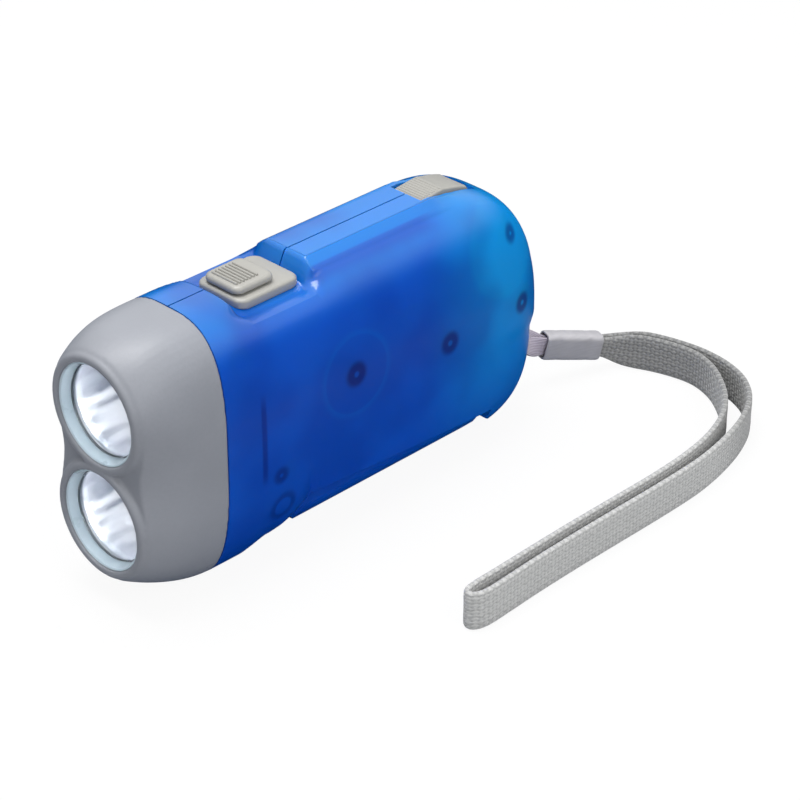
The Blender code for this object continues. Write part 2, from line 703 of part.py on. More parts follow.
# Places of the screws: above the spigot, below the rotor and behind the latch
SCREW_PLACES = (
    (HEAD_LENGTH + SPIGOT_LENGTH + HEAD_BOSS_RADIUS + SCREW_ROOM, BARREL_HEIGHT - SCREW_DROP),
    step_from(ROTOR, SCREW_BEARING, MAGNET_RADIUS + HEAD_BOSS_RADIUS + MAGNET_ROOM),
    (LATCH_LEG_END + LOCK_TRAVEL + HEAD_BOSS_RADIUS + SCREW_ROOM, SCREW_HEIGHT),
)
POST = step_from(PIVOT, POST_BEARING, SPRING_RADIUS + SPRING_WIRE / 2 + GAP + POST_RADIUS)


def boss(place, radius, side, reach):
    """Round post from the housing's wall to a distance from the middle."""
    wall = side_reach(place[0], place[1]) - WALL / 2
    low, high = sorted((side * wall, side * reach))
    return rod(place[0], place[1], radius, low, high, 20)


def housing(name, side, outer, middle, inner):
    """One half of the housing; side is -1 for the near half and 1 for the far half."""
    piece = add(name, bmesh.new(), BLUE, 0.2)
    piece.data = outer.data.copy()
    piece.data.materials.clear()
    piece.data.materials.append(finish(name, BLUE, 0.2))
    bounds = sorted((side * GAP / 2, side * (PALM_HALF_WIDTH + CUT)))
    keep(piece, box(-CUT, BODY_LENGTH + CUT, bounds[0], bounds[1], 0, BACK_HEIGHT + CUT))
    hollow = bmesh.new()
    hollow.from_mesh(inner.data)
    cut(piece, hollow, slot_cutter())
    near = side < 0
    posts = []
    for place in SCREW_PLACES:
        posts.append(boss(place, BOSS_RADIUS if near else HEAD_BOSS_RADIUS, side, GAP / 2))
    posts.append(boss(PIVOT, PIVOT_BOSS_RADIUS, side, LEVER_HALF_WIDTH + GAP))
    posts.append(boss((PIN_BACK, PIN_HEIGHT), PIN_BOSS_RADIUS, side, EYE_HALF_WIDTH + PIN_BOSS_INSET))
    if near:
        posts.append(boss(POST, POST_RADIUS, side, POST_REACH))
        posts.append(boss(DRIVE, BOSS_RADIUS, side, -DRIVE_LOW + GAP))
        posts.append(boss(ROTOR, AXLE_BOSS_RADIUS, side, -OUTER_PLATE_LOW + GAP))
        posts.append(boss(COIL, RIVET_RADIUS, side, -OUTER_PLATE_LOW + 2 * GAP + RIVET_HEAD))
    else:
        posts.append(boss(DRIVE, BOSS_RADIUS, side, PINION_TOP + GAP))
        posts.append(boss(IDLER, AXLE_BOSS_RADIUS, side, IDLER_TOP + GAP))
        posts.append(boss(ROTOR, AXLE_BOSS_RADIUS, side, GAP / 2))
    bosses = add("bosses", posts.pop())
    join(bosses, *posts)
    inside = bmesh.new()
    inside.from_mesh(middle.data)
    keep(bosses, inside)
    rooted = bmesh.new()
    rooted.from_mesh(bosses.data)
    bpy.data.objects.remove(bosses)
    join(piece, rooted)
    cutters = []
    for place in SCREW_PLACES:
        wall = side_reach(place[0], place[1])
        if near:
            end = -(wall - WALL)
            cutters.append(rod(place[0], place[1], SCREW_RADIUS + GAP, end, CUT, 16))
        else:
            seat = wall - SCREW_SINK
            cutters.append(rod(place[0], place[1], SCREW_RADIUS + GAP, -CUT, seat + CUT, 16))
            cutters.append(rod(place[0], place[1], SCREW_HEAD_RADIUS + GAP, seat, wall + CUT, 20))
    pivot_end = side_reach(*PIVOT) - WALL
    cutters.append(rod(PIVOT[0], PIVOT[1], PIVOT_PIN_RADIUS + GAP, -pivot_end, pivot_end, 20))
    pin_end = side_reach(PIN_BACK, PIN_HEIGHT) - WALL
    cutters.append(rod(PIN_BACK, PIN_HEIGHT, PIN_RADIUS + GAP, -pin_end, pin_end, 16))
    for place in ((DRIVE, ROTOR) if near else (DRIVE, IDLER, ROTOR)):
        end = axle_end(place)
        cutters.append(rod(place[0], place[1], AXLE_RADIUS + GAP, -end - GAP, end + GAP, 16))
    cutters.append(box(STEM_WAY_START, STEM_WAY_END, -KNOB_STEM_HALF_WIDTH - GRIP,
                       KNOB_STEM_HALF_WIDTH + GRIP, SHELF_HEIGHT - WALL - CUT, SHELF_HEIGHT + CUT))
    cutters.append(lock_strip(-LOCK_SINK - GAP, CUT, LOCK_START - GAP, LOCK_END + LOCK_TRAVEL + GAP,
                              LOCK_HALF_WIDTH + GAP))
    cutters.append(box(LOCK_STEM_START - GRIP, LOCK_STEM_START + LOCK_STEM + LOCK_TRAVEL + GRIP,
                       -LOCK_STEM_HALF_WIDTH - GRIP, LOCK_STEM_HALF_WIDTH + GRIP,
                       LOCK_STEM_END - CUT, BARREL_HEIGHT + CUT))
    cutters.append(box(PIN_BACK - PIN_RADIUS, BODY_LENGTH + CUT, -EYE_HALF_WIDTH, EYE_HALF_WIDTH,
                       PIN_HEIGHT - EYE_HALF_HEIGHT, PIN_HEIGHT + EYE_HALF_HEIGHT))
    cut(piece, *cutters)
    return piece


def axle_end(place):
    """Half length of an axle that ends inside the housing's walls."""
    return side_reach(place[0], place[1]) - WALL - GAP


def lock_strip(low, high, start, end, half, steps=8):
    """Strip that follows the crown between two offsets."""
    outline = []
    for index in range(steps + 1):
        back = start + (end - start) * index / steps
        outline.append((back, crown_height(back, low)))
    for index in range(steps, -1, -1):
        back = start + (end - start) * index / steps
        outline.append((back, crown_height(back, high)))
    return prism(outline, -half, half)


def blend_distance(first, second, blend):
    """Smooth minimum of two distances."""
    share = max(blend - abs(first - second), 0) / blend
    return min(first, second) - share * share * blend / 4


def face_radius(angle, radius, middle):
    """Radius of the figure-eight face from the middle, found by halving."""
    low, high = 0.0, BARREL_HEIGHT
    for _ in range(40):
        reach = (low + high) / 2
        side = reach * math.cos(angle)
        height = middle + reach * math.sin(angle)
        distances = [math.hypot(side, height - lamp) - radius for lamp in LAMP_HEIGHTS.values()]
        if blend_distance(distances[0], distances[1], FACE_BLEND) < 0:
            low = reach
        else:
            high = reach
    return low


def seam_radius(angle, middle, inset=0.0):
    """Radius of the body's section at the seam, seen from a middle height."""
    low, high = 0.0, BARREL_HEIGHT
    for _ in range(40):
        reach = (low + high) / 2
        side = abs(reach * math.cos(angle)) / (SEAM_HALF_WIDTH - inset)
        height = middle + reach * math.sin(angle) - SPINE_HEIGHT
        tall = BARREL_HEIGHT - inset - SPINE_HEIGHT if height >= 0 else SPINE_HEIGHT + BELLY_SINK - inset
        if side ** SECTION_POWER + (abs(height) / tall) ** SECTION_POWER < 1:
            low = reach
        else:
            high = reach
    return low


def head_ring(back, count=36):
    """Section of the head, from the figure-eight face to the body's section."""
    share = (back - FACE_BACK) / (HEAD_LENGTH - FACE_BACK)
    swell = 1 - (1 - share) ** HEAD_SWELL_POWER
    middle = sum(LAMP_HEIGHTS.values()) / 2
    ring = []
    for index in range(count):
        angle = 2 * math.pi * index / count
        reach = face_radius(angle, FACE_RADIUS, middle) * (1 - swell)
        reach += seam_radius(angle, middle) * swell
        ring.append(Vector((at(back), reach * math.cos(angle), middle + reach * math.sin(angle))))
    return ring


def make_head():
    """Grey shroud with its two lipped mouths and its spigot into the housing."""
    stations = [FACE_BACK + (HEAD_LENGTH - FACE_BACK) * share for share in
                (0, 0.08, 0.20, 0.36, 0.55, 0.77, 1)]
    piece = add("head_shroud", loft([head_ring(back) for back in stations]), GREY, 0.5)
    spigot_end = HEAD_LENGTH + SPIGOT_LENGTH
    spigot = loft([section_ring(HEAD_LENGTH - CUT / 2, WALL + GAP), section_ring(spigot_end, WALL + GAP)])
    lips = []
    for height in LAMP_HEIGHTS.values():
        lips.append(turned(((0, LIP_RADIUS - 2 * LIP_ROUND), (0, LIP_RADIUS - LIP_ROUND),
                            (LIP_ROUND / 3, LIP_RADIUS - LIP_ROUND / 3), (LIP_ROUND, LIP_RADIUS),
                            (LIP_LENGTH, LIP_RADIUS)), along_x(height), 28))
    join(piece, spigot, *lips)
    hollow = WALL + GAP + SPIGOT_WALL
    cavity = loft([section_ring(CAVITY_START, hollow), section_ring(spigot_end + CUT, hollow)])
    tools = [floor_cutter(), cavity]
    for height in LAMP_HEIGHTS.values():
        tools.append(turned(((-CUT, MOUTH_RADIUS), (0, MOUTH_RADIUS), (RECESS_DEPTH, SEAT_RADIUS),
                             (CAVITY_START + CUT, SEAT_RADIUS)), along_x(height), 28))
    cut(piece, *tools)


def make_lamps():
    """Lens, reflector and LED of each lamp, and the board behind them."""
    lens_start = RECESS_DEPTH + GAP
    cup_start = lens_start + LENS_THICKNESS + GAP
    cup_end = cup_start + REFLECTOR_DEPTH
    rim = SEAT_RADIUS - GAP
    neck = LED_RADIUS + GAP
    foot = cup_end + GAP
    board_start = foot + LED_FOOT + GAP
    for place, height in LAMP_HEIGHTS.items():
        spot = along_x(height)
        add("lens_" + place, turned(((lens_start, rim), (lens_start + LENS_THICKNESS, rim)), spot, 32),
            CLEAR, 0.05)
        cup = []
        for index in range(5):
            share = index / 4
            reach = rim - REFLECTOR_WALL - (rim - REFLECTOR_WALL - neck) * share ** 2
            cup.append((cup_start + REFLECTOR_DEPTH * share, reach))
        cup += [(along, reach + REFLECTOR_WALL) for along, reach in reversed(cup)]
        add("reflector_" + place, turned(cup, spot, 24, True), CHROME, 0.1, 1.0)
        dome = foot - LED_BODY
        bulb = [(dome - LED_RADIUS, 0)]
        for index in range(1, 5):
            angle = math.pi / 8 * index
            bulb.append((dome - LED_RADIUS * math.cos(angle), LED_RADIUS * math.sin(angle)))
        bulb += [(foot, LED_RADIUS), (foot, LED_RADIUS + LED_FLANGE),
                 (foot + LED_FOOT, LED_RADIUS + LED_FLANGE)]
        add("led_" + place, turned(bulb, spot, 16), CLEAR, 0.1)
    inset = WALL + 2 * GAP + SPIGOT_WALL
    add("led_board", loft([section_ring(board_start, inset, 28),
                           section_ring(board_start + BOARD_THICKNESS, inset, 28)]), BOARD, 0.5)
    return board_start + BOARD_THICKNESS


def rounded_plan(start, end, half, round_by, steps=3):
    """Outline seen from above with rounded corners: (back, side)."""
    corners = ((end - round_by, half - round_by, 0), (start + round_by, half - round_by, 90),
               (start + round_by, -half + round_by, 180), (end - round_by, -half + round_by, 270))
    points = []
    for back, side, angle in corners:
        points += arc((back, side), round_by, angle, angle + 90, steps)
    return points


def slab(outline, levels):
    """Solid through copies of a plan outline; levels are (height, inset) pairs."""
    middle_back = (min(p[0] for p in outline) + max(p[0] for p in outline)) / 2
    half_back = max(p[0] for p in outline) - middle_back
    half_side = max(p[1] for p in outline)
    rings = []
    for height, inset in levels:
        ring = []
        for back, side in outline:
            shrunk = middle_back + (back - middle_back) * (half_back - inset) / half_back
            ring.append(Vector((at(shrunk), side * (half_side - inset) / half_side, height)))
        rings.append(ring)
    return loft(rings)


def ribs(start, end, half, count, height_at):
    """Fine cross ribs between two places, on a surface given by height_at."""
    bars = []
    pitch = (end - start) / count
    for index in range(count):
        back = start + pitch * (index + 0.5)
        base = height_at(back)
        outline = ((back - pitch / 3, base - RIB_HEIGHT), (back + pitch / 3, base - RIB_HEIGHT),
                   (back + pitch / 6, base + RIB_HEIGHT), (back - pitch / 6, base + RIB_HEIGHT))
        bars.append(prism(outline, -half, half))
    return bars


def make_switch():
    """Bezel plate, ribbed knob and the slide switch under the shelf."""
    low = SHELF_HEIGHT + GAP
    top = low + BEZEL_THICKNESS
    plate = rounded_plan(BEZEL_START, BEZEL_END, BEZEL_HALF_WIDTH, BEZEL_ROUND)
    bezel = add("switch_bezel", slab(plate, ((low, 0), (top - GAP, 0), (top, GAP))), SAND, 0.5)
    half_way = KNOB_STEM_HALF_WIDTH + GRIP
    cut(bezel, box(STEM_WAY_START, STEM_WAY_END, -half_way, half_way, low - CUT, top + CUT))
    knob_low = top + GAP
    knob_top = knob_low + KNOB_HEIGHT
    plan = rounded_plan(KNOB_START, KNOB_END, KNOB_HALF_WIDTH, KNOB_ROUND)
    levels = ((knob_low, 0), (knob_top - KNOB_ROUND / 2, 0), (knob_top - KNOB_ROUND / 8, KNOB_ROUND / 8),
              (knob_top, KNOB_ROUND / 2))
    knob = add("switch_slider", slab(plan, levels), SAND, 0.5)
    can_top = SHELF_HEIGHT - WALL - GAP
    stem = box(STEM_START, STEM_START + KNOB_STEM, -KNOB_STEM_HALF_WIDTH, KNOB_STEM_HALF_WIDTH,
               can_top - CAN_WELL + GRIP, knob_low + KNOB_HEIGHT / 2)
    rib_half = KNOB_HALF_WIDTH - KNOB_ROUND
    join(knob, stem, *ribs(KNOB_START + KNOB_ROUND, KNOB_END - KNOB_ROUND, rib_half, RIB_COUNT,
                           lambda back: knob_top))
    can = add("slide_switch", box(STEM_WAY_START - CAN_WALL, STEM_WAY_END + CAN_WALL, -half_way - CAN_WALL,
                                  half_way + CAN_WALL, can_top - CAN_HEIGHT, can_top), STEEL, 0.4, 0.8)
    cut(can, box(STEM_WAY_START, STEM_WAY_END, -half_way, half_way, can_top - CAN_WELL, can_top + CUT))


def make_lock():
    """Ribbed lock slider on the crown and the latch bar that it carries."""
    slider = add("lock_slider", lock_strip(-LOCK_SINK, LOCK_PROUD, LOCK_START, LOCK_END, LOCK_HALF_WIDTH),
                 SAND, 0.5)
    stem = box(LOCK_STEM_START, LOCK_STEM_START + LOCK_STEM, -LOCK_STEM_HALF_WIDTH, LOCK_STEM_HALF_WIDTH,
               LOCK_STEM_END, crown_height(LOCK_STEM_START + LOCK_STEM))
    middle = (LOCK_START + LOCK_END) / 2
    join(slider, stem, *ribs(LOCK_START + LOCK_SINK, middle, LOCK_HALF_WIDTH - LOCK_SINK, LOCK_RIB_COUNT,
                             lambda back: crown_height(back, LOCK_PROUD)))
    top = LOCK_STEM_END - GAP
    nose_low = LATCH_NOSE_HEIGHT - LATCH_NOSE / 2
    nose_high = LATCH_NOSE_HEIGHT + LATCH_NOSE / 2
    tail = LEVER_TAIL_RADIUS + GAP
    nose_tip = PIVOT_BACK + math.sqrt(tail ** 2 - (nose_low - PIVOT_HEIGHT) ** 2)
    outline = ((LOCK_STEM_START, top - LATCH_THICKNESS), (LATCH_LEG_START, top - LATCH_THICKNESS),
               (LATCH_LEG_START, nose_high), (nose_tip + GAP, nose_high), (nose_tip, nose_low),
               (LATCH_LEG_END, nose_low), (LATCH_LEG_END, top), (LOCK_STEM_START, top))
    add("latch_bar", prism(outline, -LATCH_HALF_WIDTH, LATCH_HALF_WIDTH), BLUE, 0.3)


def channel(half, bottom, round_by):
    """Long solid with rounded lower edges, from which the lever takes its section."""
    section = [(-half, LEVER_TAIL_HEIGHT + CUT)]
    section += arc((-half + round_by, bottom + round_by), round_by, 180, 270, 5)
    section += arc((half - round_by, bottom + round_by), round_by, 270, 360, 5)
    section.append((half, LEVER_TAIL_HEIGHT + CUT))
    ends = (PIVOT_BACK - LEVER_HUB_RADIUS - CUT, PIVOT_BACK + LEVER_TAIL_RADIUS + CUT)
    return loft([[Vector((at(back), side, height)) for side, height in section] for back in ends])


def tail_curve(radius, bottom, steps=5):
    """Bottom of the lever's tail, which curves up towards its end."""
    low = bottom + TAIL_RISE - PIVOT_HEIGHT
    end = PIVOT_BACK + math.sqrt(radius ** 2 - low ** 2)
    points = []
    for index in range(steps):
        angle = math.pi / 2 * index / steps
        points.append((end - TAIL_RUN * (1 - math.sin(angle)), bottom + TAIL_RISE * (1 - math.cos(angle))))
    return points


def make_lever():
    """Squeeze lever: an open channel on a hub, with a latch window in its tail."""
    tail_top = math.degrees(math.asin((LEVER_TAIL_HEIGHT - PIVOT_HEIGHT) / LEVER_TAIL_RADIUS))
    tail_low = math.degrees(math.asin((LEVER_BOTTOM + TAIL_RISE - PIVOT_HEIGHT) / LEVER_TAIL_RADIUS))
    front = SLOT_RADIUS + SLOT_LAND + 2 * GAP
    outline = arc(PIVOT, LEVER_HUB_RADIUS, 100, 360 + LEDGE_ANGLE, 14)
    outline += arc(PIVOT, front, LEDGE_ANGLE, -50, 8)
    heel = step_from(PIVOT, -50, front)
    outline.append((heel[0] + LEVER_HEEL, LEVER_BOTTOM))
    outline += tail_curve(LEVER_TAIL_RADIUS, LEVER_BOTTOM)
    outline += arc(PIVOT, LEVER_TAIL_RADIUS, tail_low, tail_top, 6)
    lever = add("squeeze_lever", prism(outline, -LEVER_HALF_WIDTH, LEVER_HALF_WIDTH), BLUE, 0.2)
    keep(lever, channel(LEVER_HALF_WIDTH, LEVER_BOTTOM, LEVER_EDGE_ROUND))
    inner_front = front + LEVER_WALL
    floor = LEVER_BOTTOM + LEVER_WALL
    inner_tail = LEVER_TAIL_RADIUS - LEVER_WALL
    low_front = math.degrees(math.asin((floor - PIVOT_HEIGHT) / inner_front))
    low_tail = math.degrees(math.asin((floor + TAIL_RISE - PIVOT_HEIGHT) / inner_tail))
    ledge_start = SPRING_RADIUS + SPRING_WIRE + GAP
    ledge_share = math.degrees(LEVER_WALL / ledge_start)
    hollow = arc(PIVOT, LEVER_HUB_RADIUS, 110, LEDGE_ANGLE - ledge_share, 10)
    hollow += arc(PIVOT, ledge_start, LEDGE_ANGLE - ledge_share, LEDGE_ANGLE + ledge_share, 2)
    hollow += arc(PIVOT, inner_front, LEDGE_ANGLE + math.degrees(LEVER_WALL / inner_front), low_front, 7)
    hollow += tail_curve(inner_tail, floor)
    hollow += arc(PIVOT, inner_tail, low_tail, tail_top + 3, 5)
    hollow.append((PIVOT_BACK, LEVER_TAIL_HEIGHT + CUT))
    inner_half = LEVER_HALF_WIDTH - LEVER_WALL
    room = add("room", prism(hollow, -LEVER_HALF_WIDTH, LEVER_HALF_WIDTH))
    keep(room, channel(inner_half, floor, LEVER_EDGE_ROUND - LEVER_WALL))
    hollowed = bmesh.new()
    hollowed.from_mesh(room.data)
    bpy.data.objects.remove(room)
    window_half = LATCH_NOSE / 2 + WINDOW_ROOM
    window_side = LATCH_HALF_WIDTH + WINDOW_ROOM
    window = box(PIVOT_BACK + inner_tail - LEVER_HEEL, LEVER_END + CUT, -window_side, window_side,
                 LATCH_NOSE_HEIGHT - window_half, LATCH_NOSE_HEIGHT + window_half)
    cut(lever, hollowed, window,
        rod(PIVOT[0], PIVOT[1], PIVOT_PIN_RADIUS + GAP, -LEVER_HALF_WIDTH - CUT, LEVER_HALF_WIDTH + CUT, 20))
    end = side_reach(*PIVOT) - WALL - GAP
    add("lever_pivot_pin", rod(PIVOT[0], PIVOT[1], PIVOT_PIN_RADIUS, -end, end, 20), STEEL, 0.3, 1.0)


def make_sector():
    """Toothed sector fixed on the lever's hub."""
    pitch = 360 / SECTOR_TEETH
    radius = SECTOR_TEETH * SECTOR_MODULE / 2
    inner = radius - SECTOR_MODULE - SECTOR_RIM
    low = SECTOR_BEARING - (SECTOR_BELOW + 0.5) * pitch
    high = SECTOR_BEARING + (SECTOR_ABOVE + 0.5) * pitch
    teeth = gear_outline(PIVOT, SECTOR_TEETH, SECTOR_MODULE, SECTOR_BEARING, (-SECTOR_BELOW, SECTOR_ABOVE))
    outline = teeth + arc(PIVOT, inner, high, high, 1)[:1]
    outline += arc(PIVOT, SECTOR_DISC_RADIUS, high + 4, low + 355, 12)
    outline += arc(PIVOT, inner, low, low, 1)[:1]
    end = SECTOR_START + SECTOR_THICKNESS
    sector = add("lever_sector_gear", prism(outline, SECTOR_START, end), WHITE, 0.5)
    cut(sector, rod(PIVOT[0], PIVOT[1], LEVER_HUB_RADIUS + GAP, SECTOR_START - CUT, end + CUT, 24))


def wheel(name, centre, layers, colour=WHITE):
    """Compound gear from toothed layers (teeth, module, phase, low, high) on an axle bore."""
    first = layers[0]
    piece = add(name, prism(gear_outline(centre, *first[:3]), *first[3:]), colour, 0.5)
    for layer in layers[1:]:
        join(piece, prism(gear_outline(centre, *layer[:3]), *layer[3:]))
    ends = [end for layer in layers for end in layer[3:]]
    cut(piece, rod(centre[0], centre[1], AXLE_RADIUS + GAP, min(ends) - CUT, max(ends) + CUT, 16))
    return piece


def make_gears():
    """Drive gear, idler gear and their axles."""
    drive_phase = IDLER_BEARING
    wheel("drive_gear", DRIVE, (
        (DRIVE_TEETH, DRIVE_MODULE, drive_phase, DRIVE_LOW, 0),
        (DRIVE_PINION_TEETH, SECTOR_MODULE, mesh_phase(SECTOR_BEARING, DRIVE_PINION_TEETH),
         -DRIVE_THICKNESS / 4, PINION_TOP)))
    wheel("idler_gear", IDLER, (
        (IDLER_TEETH, IDLER_MODULE, ROTOR_BEARING, IDLER_LOW, IDLER_WHEEL_HIGH),
        (IDLER_PINION_TEETH, DRIVE_MODULE, mesh_phase(IDLER_BEARING, IDLER_PINION_TEETH),
         IDLER_WHEEL_HIGH - IDLER_THICKNESS / 4, IDLER_TOP)))
    end = axle_end(DRIVE)
    add("drive_axle", rod(DRIVE[0], DRIVE[1], AXLE_RADIUS, -end, end, 16), STEEL, 0.3, 1.0)
    add("idler_axle", rod(IDLER[0], IDLER[1], AXLE_RADIUS, INNER_PLATE_LOW, axle_end(IDLER), 16),
        STEEL, 0.3, 1.0)


def hull_outline(circles, steps=28):
    """Convex outline round circles (centre, radius) in the side view."""
    shape = bmesh.new()
    for centre, radius in circles:
        for back, height in arc(centre, radius, 0, 360, steps)[:-1]:
            shape.verts.new((back, height, 0))
    points = sorted((vert.co.x, vert.co.y) for vert in shape.verts)
    shape.free()
    halves = []
    for ordered in (points, points[::-1]):
        chain = []
        for point in ordered:
            while len(chain) > 1 and turn_of(chain[-2], chain[-1], point) <= 0:
                chain.pop()
            chain.append(point)
        halves += chain[:-1]
    return halves


def turn_of(first, second, third):
    return ((second[0] - first[0]) * (third[1] - first[1])
            - (second[1] - first[1]) * (third[0] - first[0]))


def make_generator():
    """Rotor, stator plates, coil and core."""
    hub = [(MAGNET_LOW, AXLE_RADIUS + GAP), (MAGNET_LOW, MAGNET_BORE - GAP), (MAGNET_HIGH, MAGNET_BORE - GAP),
           (MAGNET_HIGH, AXLE_RADIUS + GAP + BOBBIN_WALL), (IDLER_LOW, AXLE_RADIUS + GAP + BOBBIN_WALL),
           (IDLER_LOW, AXLE_RADIUS + GAP)]
    rotor = add("rotor_hub", turned(hub, along_y(*ROTOR), 28, True), WHITE, 0.5)
    pinion = add("pinion", prism(gear_outline(ROTOR, ROTOR_PINION_TEETH, IDLER_MODULE,
                                              mesh_phase(ROTOR_BEARING, ROTOR_PINION_TEETH)),
                                 IDLER_LOW - GAP, ROTOR_TOP - GAP))
    cut(pinion, rod(ROTOR[0], ROTOR[1], AXLE_RADIUS + GAP, IDLER_LOW - CUT, ROTOR_TOP + CUT, 28))
    teeth = bmesh.new()
    teeth.from_mesh(pinion.data)
    bpy.data.objects.remove(pinion)
    join(rotor, teeth)
    ring = [(MAGNET_LOW, MAGNET_BORE), (MAGNET_LOW, MAGNET_RADIUS), (MAGNET_HIGH, MAGNET_RADIUS),
            (MAGNET_HIGH, MAGNET_BORE)]
    add("rotor_magnet", turned(ring, along_y(*ROTOR), 32, True), MAGNET, 0.4, 0.3)
    end = axle_end(ROTOR)
    add("rotor_shaft", rod(ROTOR[0], ROTOR[1], AXLE_RADIUS, -end, end, 16), STEEL, 0.3, 1.0)
    through = AXLE_RADIUS + 2 * GAP + BOBBIN_WALL
    inner = add("stator_plate_inner", prism(hull_outline(((COIL, YOKE_RADIUS), (ROTOR, POLE_RADIUS),
                                                          (IDLER, BOSS_RADIUS))),
                                            INNER_PLATE_LOW, INNER_PLATE_HIGH), STEEL, 0.35, 1.0)
    cut(inner, rod(COIL[0], COIL[1], CORE_RADIUS + GAP, INNER_PLATE_LOW - CUT, INNER_PLATE_HIGH + CUT, 20),
        rod(ROTOR[0], ROTOR[1], through, INNER_PLATE_LOW - CUT, INNER_PLATE_HIGH + CUT, 20),
        rod(IDLER[0], IDLER[1], AXLE_RADIUS + GAP, INNER_PLATE_LOW - CUT, INNER_PLATE_HIGH + CUT, 16))
    outer = add("stator_plate_outer", prism(hull_outline(((COIL, YOKE_RADIUS), (ROTOR, POLE_RADIUS))),
                                            OUTER_PLATE_LOW, OUTER_PLATE_HIGH), STEEL, 0.35, 1.0)
    cut(outer, rod(COIL[0], COIL[1], CORE_RADIUS + GAP, OUTER_PLATE_LOW - CUT, OUTER_PLATE_HIGH + CUT, 20),
        rod(ROTOR[0], ROTOR[1], AXLE_RADIUS + GAP, OUTER_PLATE_LOW - CUT, OUTER_PLATE_HIGH + CUT, 16))
    spot = along_y(*COIL)
    low, high = OUTER_PLATE_HIGH + GAP, INNER_PLATE_LOW - GAP
    tube = CORE_RADIUS + GAP + BOBBIN_WALL
    spool = [(low, CORE_RADIUS + GAP), (low, FLANGE_RADIUS), (low + FLANGE_THICKNESS, FLANGE_RADIUS),
             (low + FLANGE_THICKNESS, tube), (high - FLANGE_THICKNESS, tube),
             (high - FLANGE_THICKNESS, FLANGE_RADIUS), (high, FLANGE_RADIUS), (high, CORE_RADIUS + GAP)]
    add("coil_bobbin", turned(spool, spot, 24, True), WHITE, 0.5)
    wound = [(low + FLANGE_THICKNESS + GAP, tube + GAP), (low + FLANGE_THICKNESS + GAP, COIL_RADIUS),
             (high - FLANGE_THICKNESS - GAP, COIL_RADIUS), (high - FLANGE_THICKNESS - GAP, tube + GAP)]
    add("coil_winding", turned(wound, spot, 24, True), COPPER, 0.35, 0.9)
    rivet = [(OUTER_PLATE_LOW - GAP - RIVET_HEAD, RIVET_RADIUS), (OUTER_PLATE_LOW - GAP, RIVET_RADIUS),
             (OUTER_PLATE_LOW - GAP, CORE_RADIUS), (INNER_PLATE_HIGH + GAP, CORE_RADIUS),
             (INNER_PLATE_HIGH + GAP, RIVET_RADIUS), (INNER_PLATE_HIGH + GAP + RIVET_HEAD, RIVET_RADIUS)]
    add("coil_core", turned(rivet, spot, 20), STEEL, 0.3, 1.0)


def make_cells():
    """Three button cells on edge in their holder, with a tab at each end."""
    for number in range(CELL_COUNT):
        low = -CELL_SPAN / 2 + number * (CELL_THICKNESS + GAP)
        add("button_cell_%d" % (number + 1), rod(CELL_BACK, CELL_HEIGHT, CELL_RADIUS, low,
                                                 low + CELL_THICKNESS, 24), STEEL, 0.25, 1.0)
    for number, side in ((1, -1), (2, 1)):
        low, high = sorted((side * (CELL_SPAN / 2 + GAP), side * (CELL_SPAN / 2 + GAP + TAB_THICKNESS)))
        add("cell_tab_%d" % number, rod(CELL_BACK, CELL_HEIGHT, TAB_RADIUS, low, high, 12), STEEL, 0.3, 1.0)
    outline = ((CELL_BACK - HOLDER_FRONT, HOLDER_BOTTOM), (HOLDER_END, HOLDER_BOTTOM),
               (HOLDER_END, HOLDER_TOP), (HOLDER_END - HOLDER_WALL, HOLDER_TOP),
               (HOLDER_END - HOLDER_WALL, CELL_HEIGHT),
               (CELL_BACK - HOLDER_FRONT, CELL_HEIGHT - CELL_RADIUS / 2))
    holder = add("cell_holder", prism(outline, -HOLDER_HALF_WIDTH, HOLDER_HALF_WIDTH), BLACK, 0.5)
    cut(holder, rod(CELL_BACK, CELL_HEIGHT, CELL_RADIUS + GAP, -HOLDER_HALF_WIDTH - CUT,
                    HOLDER_HALF_WIDTH + CUT, 28))


def tube_path(points, radius, sides):
    """Round tube through points, with flat ends."""
    rings = []
    count = len(points)
    up = Vector((0, 1, 0))
    for index, point in enumerate(points):
        ahead = points[min(index + 1, count - 1)] - points[max(index - 1, 0)]
        ahead.normalize()
        across = ahead.cross(up).normalized()
        up = across.cross(ahead).normalized()
        ring = []
        for number in range(sides):
            angle = 2 * math.pi * number / sides
            ring.append(point + (across * math.cos(angle) + up * math.sin(angle)) * radius)
        rings.append(ring)
    return loft(rings)


def smooth(points, steps):
    """Smooth curve through hand-chosen points, each a tuple of numbers."""
    result = []
    last = len(points) - 1
    for index in range(last):
        before = Vector(points[max(index - 1, 0)])
        here = Vector(points[index])
        after = Vector(points[index + 1])
        beyond = Vector(points[min(index + 2, last)])
        for number in range(steps):
            share = number / steps
            value = (here * 2 + (after - before) * share
                     + (before * 2 - here * 5 + after * 4 - beyond) * share ** 2
                     + (here * 3 - before - after * 3 + beyond) * share ** 3) / 2
            result.append(value)
    result.append(Vector(points[last]))
    return result


